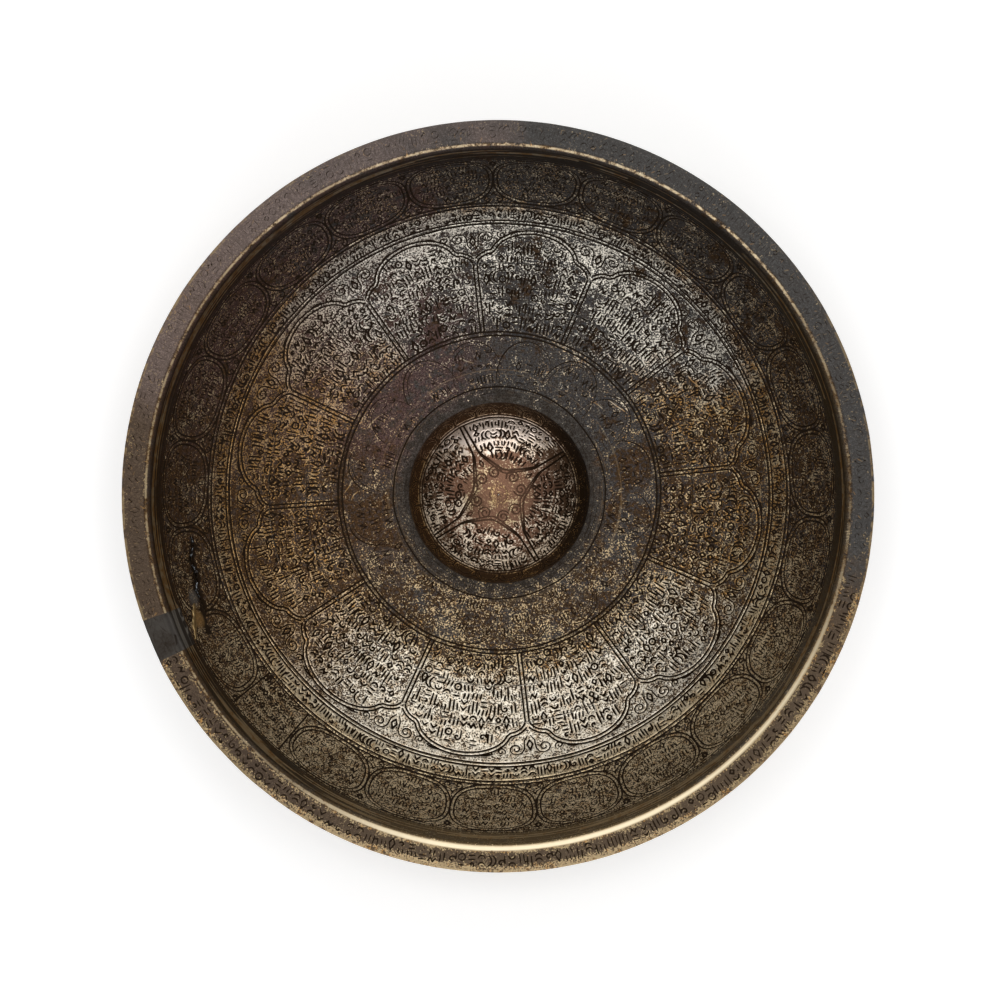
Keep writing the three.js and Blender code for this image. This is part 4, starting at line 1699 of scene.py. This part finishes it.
def wall_rings(section):
    """Rings of the wall and floor: name, inner and outer radius, and how far the rows follow the depth."""
    return (
        ("upper_medallion_band", MEDALLION_SEAM, section.radius(SEAM_DEPTH), 1.0),
        ("lower_medallion_band", BAND_TOP, MEDALLION_SEAM, 1.0),
        ("narrow_band", BAND_FOOT, BAND_TOP, 0.5),
        ("outer_panels", OUTER_SEAM, BAND_FOOT, 0.0),
        ("middle_panels", INNER_SEAM, OUTER_SEAM, 0.0),
        ("inner_panels", PANEL_FOOT, INNER_SEAM, 0.0),
        ("bowl_floor", FLOOR_HOLE, PANEL_FOOT, 0.0),
    )


class BOWL_OT_wall(bpy.types.Operator):
    """Builds the wall and floor as rings from the lip down to the boss, engraved by one network of lines"""

    bl_idname = "bowl.wall"
    bl_label = "Wall"

    def execute(self, context):
        sizes = context.scene.bowl_sizes
        section = Section(sizes)
        lines = wall_cuts(sizes, section).network("wall_lines")
        scratches = wall_scratches(sizes, section).network("wall_scratches")
        side = wall_side(section)
        shared = {
            "Wall Radius": section.wall * MM, "Curve Depth": section.deep * MM, "Wall Power": section.steep,
            "Floor Power": section.flat, "Height": sizes.height, "Thickness": sizes.wall_thickness,
            "Seat Radius": SOLDER_HIGH.x + SEAM_GAP * MM, "Material": brass(context),
        }
        for name, low, high, steepness in wall_rings(section):
            coarse = WALL_COARSE if steepness == 1.0 else 1.0
            slant = side.way_at(high) - side.way_at(low) if low > SIDE_START else high - low
            values = {
                "Columns": columns_round(high, sizes), "Low Radius": low * MM, "High Radius": high * MM,
                "Inner Rows": max(4, round(slant / (grain_of(sizes) * coarse))),
                "Outer Rows": max(2, round(slant / OUTSIDE_ROW)), "Steepness": steepness,
            }
            ring = new_object(name, bpy.data.meshes.new(name))
            turning = (tree_named("Turned Wall", wall_rule), {**shared, **values})
            engrave(ring, sizes, brass(context), lines, scratches, BASE_FLAT * MM, [turning])
            finish_piece(ring, "bowl_body")
        remove(lines)
        remove(scratches)
        return {"FINISHED"}


class BOWL_OT_boss(bpy.types.Operator):
    """Builds the hollow engraved boss"""

    bl_idname = "bowl.boss"
    bl_label = "Boss"

    def execute(self, context):
        sizes = context.scene.bowl_sizes
        dome = Dome(sizes)
        outer = dome.profile(inset=0, steps=round(BOSS_WAY / grain_of(sizes)), foot_steps=8)
        inner = dome.profile(dome.thickness, steps=12, foot_steps=2)
        hole = [(PIN_HOLE, dome.top), (PIN_HOLE, inner[-1][1])]
        profile = outer + hole + inner[::-1]
        boss = turned_object("engraved_boss", profile, columns_round(dome.radius, sizes))
        engrave_with(boss, sizes, boss_brass(context), boss_cuts(sizes, dome))
        finish_piece(boss, "central_boss")
        return {"FINISHED"}


class BOWL_OT_solder_ring(bpy.types.Operator):
    """Builds the solder fillet round the foot of the boss"""

    bl_idname = "bowl.solder_ring"
    bl_label = "Solder Ring"

    def execute(self, context):
        sizes = context.scene.bowl_sizes
        inner, outer = BOSS_HIGH.x / MM - SOLDER_UNDER, SOLDER_HIGH.x / MM
        low, high = SOLDER_LOW.z / MM, SOLDER_HIGH.z / MM
        foot = low + SOLDER_EDGE
        rise = high - low - SOLDER_EDGE
        turns = np.linspace(0, math.pi / 2, 15)
        slope = [(outer - (outer - inner) * math.sin(a), foot + rise * (1 - math.cos(a))) for a in turns]
        profile = [(inner, low - SOLDER_SINK), (outer, low - SOLDER_SINK), *slope]
        ring = turned_object("solder_fillet", profile, columns_round(outer, sizes))
        cuts = Cuts(wall_side(Section(sizes)), sizes.cut_reach / MM, SOLDER_SEED)
        cut_turned(cuts, count=26, inner=25.6, outer=28.2, short=20, long=70)
        # The same turned lines are cut in and shown as scratches
        engrave_with(ring, sizes, brass(context), cuts, cuts)
        finish_piece(ring, "boss_solder_ring")
        return {"FINISHED"}


class BOWL_OT_pin(bpy.types.Operator):
    """Builds the pin through the crown of the boss, with its worn head"""

    bl_idname = "bowl.pin"
    bl_label = "Pin"

    def execute(self, context):
        sizes = context.scene.bowl_sizes
        dome = Dome(sizes)
        radius, top, low = PIN_HIGH.x / MM, PIN_HIGH.z / MM, PIN_LOW.z / MM
        shank, below = PIN_HOLE - SEAM_GAP, dome.top - dome.thickness
        foot = [(PIN_BORE, low), (radius - PIN_SLANT, low), (radius, below), (shank, below)]
        edge = dome.top + PIN_EDGE
        turns = np.linspace(0.15, 1.5, 12)
        crown = [(radius * math.cos(a), edge + (top - dome.top - PIN_EDGE) * math.sin(a)) for a in turns]
        profile = [*foot, (shank, dome.top), (radius, dome.top), (radius, edge), *crown, (PIN_BORE, top)]
        pin = turned_object("crown_pin", profile, PIN_COLUMNS)
        cuts = Cuts(Side([PIN_BORE, radius], [top, top]), sizes.cut_reach / MM, PIN_SEED)
        cut_scratches(cuts, count=5, start=0, end=360, low=0.6, high=2.2)
        engrave_with(pin, sizes, boss_brass(context), cuts)
        finish_piece(pin, "boss_pin")
        return {"FINISHED"}


class BOWL_OT_insert(bpy.types.Operator):
    """Builds the plain piece let into the rim at the old repair"""

    bl_idname = "bowl.insert"
    bl_label = "Rim Insert"

    def execute(self, context):
        sizes, colours = context.scene.bowl_sizes, context.scene.bowl_colours
        section = Section(sizes)
        profile = rim_profile(section, SEAM_DEPTH + SOLDERED, grain_of(sizes))
        gap = math.degrees((SEAM_GAP + SOLDERED) / section.wall)
        insert = turned_object("rim_repair", profile, INSERT_COLUMNS, INSERT_START - gap, INSERT_END + gap)
        cuts = Cuts(rim_side(section), sizes.cut_reach / MM, INSERT_SEED)
        cut_scratches(cuts, count=9, start=INSERT_START, end=INSERT_END, low=3.0, high=6.0)
        material = new_material(
            "plain_grey_metal", plain_metal, colours.insert, colours.soot,
            metallic=0.6, rough=0.5, scale=1.6, cover=0.3, engraved=True,
        )
        engrave_with(insert, sizes, material, cuts, wall_scratches(sizes, section), dents=INSERT_DENTS)
        finish_piece(insert, "rim_insert")
        return {"FINISHED"}


def bead(name, section, path, widths, rises, lump, seed):
    """A flattened lumpy bead of filler that lies along places of the wall, given as (degrees, depth)."""
    side = wall_side(section)
    angles, depths = np.array(path).T
    points, normals = side.places(angles, ways_down(side, section, depths))
    along = np.gradient(points, axis=0)
    along /= np.linalg.norm(along, axis=1)[:, None]
    across = np.cross(normals, along)
    turn = np.arange(BEAD_SIDES) * 2 * math.pi / BEAD_SIDES
    chance = np.random.default_rng(seed)
    waves = chance.uniform(0.6, 2.6, (BEAD_WAVES, 3)), chance.uniform(0, 6.28, BEAD_WAVES)
    rings = []
    for width, rise, point, normal, beside in zip(widths / 2, rises, points, normals, across):
        up = np.where(np.sin(turn) > 0, np.sin(turn) * rise, np.sin(turn) * BEAD_SINK)
        ring = point + np.outer(np.cos(turn) * width, beside) + np.outer(up, normal)
        rough = sum(np.sin(ring @ wave * 3 + shift) for wave, shift in zip(*waves)) / BEAD_WAVES
        rings.append(ring + np.outer(rough * lump * (np.sin(turn) > -0.3), normal))
    points = np.concatenate([points[:1], *rings, points[-1:]])
    last = len(points) - 1
    faces = []
    for j in range(BEAD_SIDES):
        k = (j + 1) % BEAD_SIDES
        faces.append((0, 1 + k, 1 + j))
        for i in range(len(path) - 1):
            low = 1 + i * BEAD_SIDES
            faces.append((low + j, low + k, low + BEAD_SIDES + k, low + BEAD_SIDES + j))
        faces.append((last, last - BEAD_SIDES + j, last - BEAD_SIDES + k))
    piece = new_object(name, mesh_from(name, points, [], faces))
    piece.data.shade_smooth()
    return piece


def crack_bead(section):
    """The lumpy solder that fills the crack, thicker towards its end."""
    share = np.linspace(0, 1, 160)
    blob = 0.5 + 0.5 * np.sin(share * 67) * np.sin(share * 23 + 1)
    path = list(zip(CRACK_START + (CRACK_END - CRACK_START) * share, crack_depth(share)))
    swell = np.sin(math.pi * share) ** 0.35
    widths = (0.35 + 1.7 * blob ** 2 * (0.35 + 0.65 * share)) * swell
    rises = (0.1 + 0.55 * blob * (0.3 + 0.7 * share)) * swell
    return bead("crack_beads", section, path, widths, rises, lump=0.3, seed=CRACK_SEED)


def braze_bead(section):
    """The smooth run of braze from the crack up to the insert."""
    share = np.linspace(0, 1, 60)
    top = INSERT_DEPTH + SEAM_GAP + BRAZE_WIDTH / 2
    angles = BRAZE_START + (BRAZE_END - BRAZE_START) * share
    path = list(zip(angles, BRAZE_DEPTH + (top - BRAZE_DEPTH) * share))
    swell = np.sin(math.pi * (0.06 + 0.88 * share)) ** 0.6
    widths = (1.5 + 0.35 * np.sin(share * 13) + 0.25 * np.sin(share * 31)) * swell
    return bead("braze_run", section, path, widths, 0.22 * swell, lump=0.05, seed=BRAZE_SEED)


class BOWL_OT_repairs(bpy.types.Operator):
    """Builds the soldered crack and the brazed run in the wall"""

    bl_idname = "bowl.repairs"
    bl_label = "Crack and Braze"

    def execute(self, context):
        section = Section(context.scene.bowl_sizes)
        colours = context.scene.bowl_colours
        solder = crack_bead(section)
        solder.data.materials.append(new_material(
            "bright_solder", plain_metal, BRIGHT_SOLDER, colours.soot,
            metallic=0.9, rough=0.35, scale=2.6, cover=0.55,
        ))
        finish_piece(solder, "crack_solder")
        braze = braze_bead(section)
        braze.data.materials.append(new_material(
            "golden_braze", plain_metal, colours.braze, colours.brown,
            metallic=0.8, rough=0.45, scale=2.2, cover=0.52,
        ))
        finish_piece(braze, "braze_fill")
        return {"FINISHED"}


class BOWL_PT_panel(bpy.types.Panel):
    """Sizes, colours and steps of the bowl"""

    bl_idname = "BOWL_PT_panel"
    bl_label = "Engraved Bowl"
    bl_space_type = "VIEW_3D"
    bl_region_type = "UI"
    bl_category = "Bowl"

    def draw(self, context):
        for group in (context.scene.bowl_sizes, context.scene.bowl_colours):
            box = self.layout.box()
            for name in group.bl_rna.properties.keys():
                if name not in ("rna_type", "name"):
                    box.prop(group, name)
        for step in STEPS:
            self.layout.operator(step.bl_idname)


GROUPS = (BowlSizes, BowlColours)
STEPS = (
    BOWL_OT_stage, BOWL_OT_rim, BOWL_OT_wall, BOWL_OT_boss, BOWL_OT_solder_ring, BOWL_OT_pin, BOWL_OT_insert,
    BOWL_OT_repairs,
)


def register():
    """Registers the classes and hangs the sizes and colours on the scene."""
    for cls in (*GROUPS, *STEPS, BOWL_PT_panel):
        bpy.utils.register_class(cls)
    bpy.types.Scene.bowl_sizes = bpy.props.PointerProperty(type=BowlSizes)
    bpy.types.Scene.bowl_colours = bpy.props.PointerProperty(type=BowlColours)


def unregister():
    """Takes back what register did."""
    del bpy.types.Scene.bowl_colours
    del bpy.types.Scene.bowl_sizes
    for cls in reversed((*GROUPS, *STEPS, BOWL_PT_panel)):
        bpy.utils.unregister_class(cls)


def main():
    """Builds the bowl and its studio."""
    register()
    bpy.ops.bowl.stage()
    bpy.ops.bowl.rim()
    bpy.ops.bowl.wall()
    bpy.ops.bowl.boss()
    bpy.ops.bowl.solder_ring()
    bpy.ops.bowl.pin()
    bpy.ops.bowl.insert()
    bpy.ops.bowl.repairs()


if __name__ == "__main__":
    main()
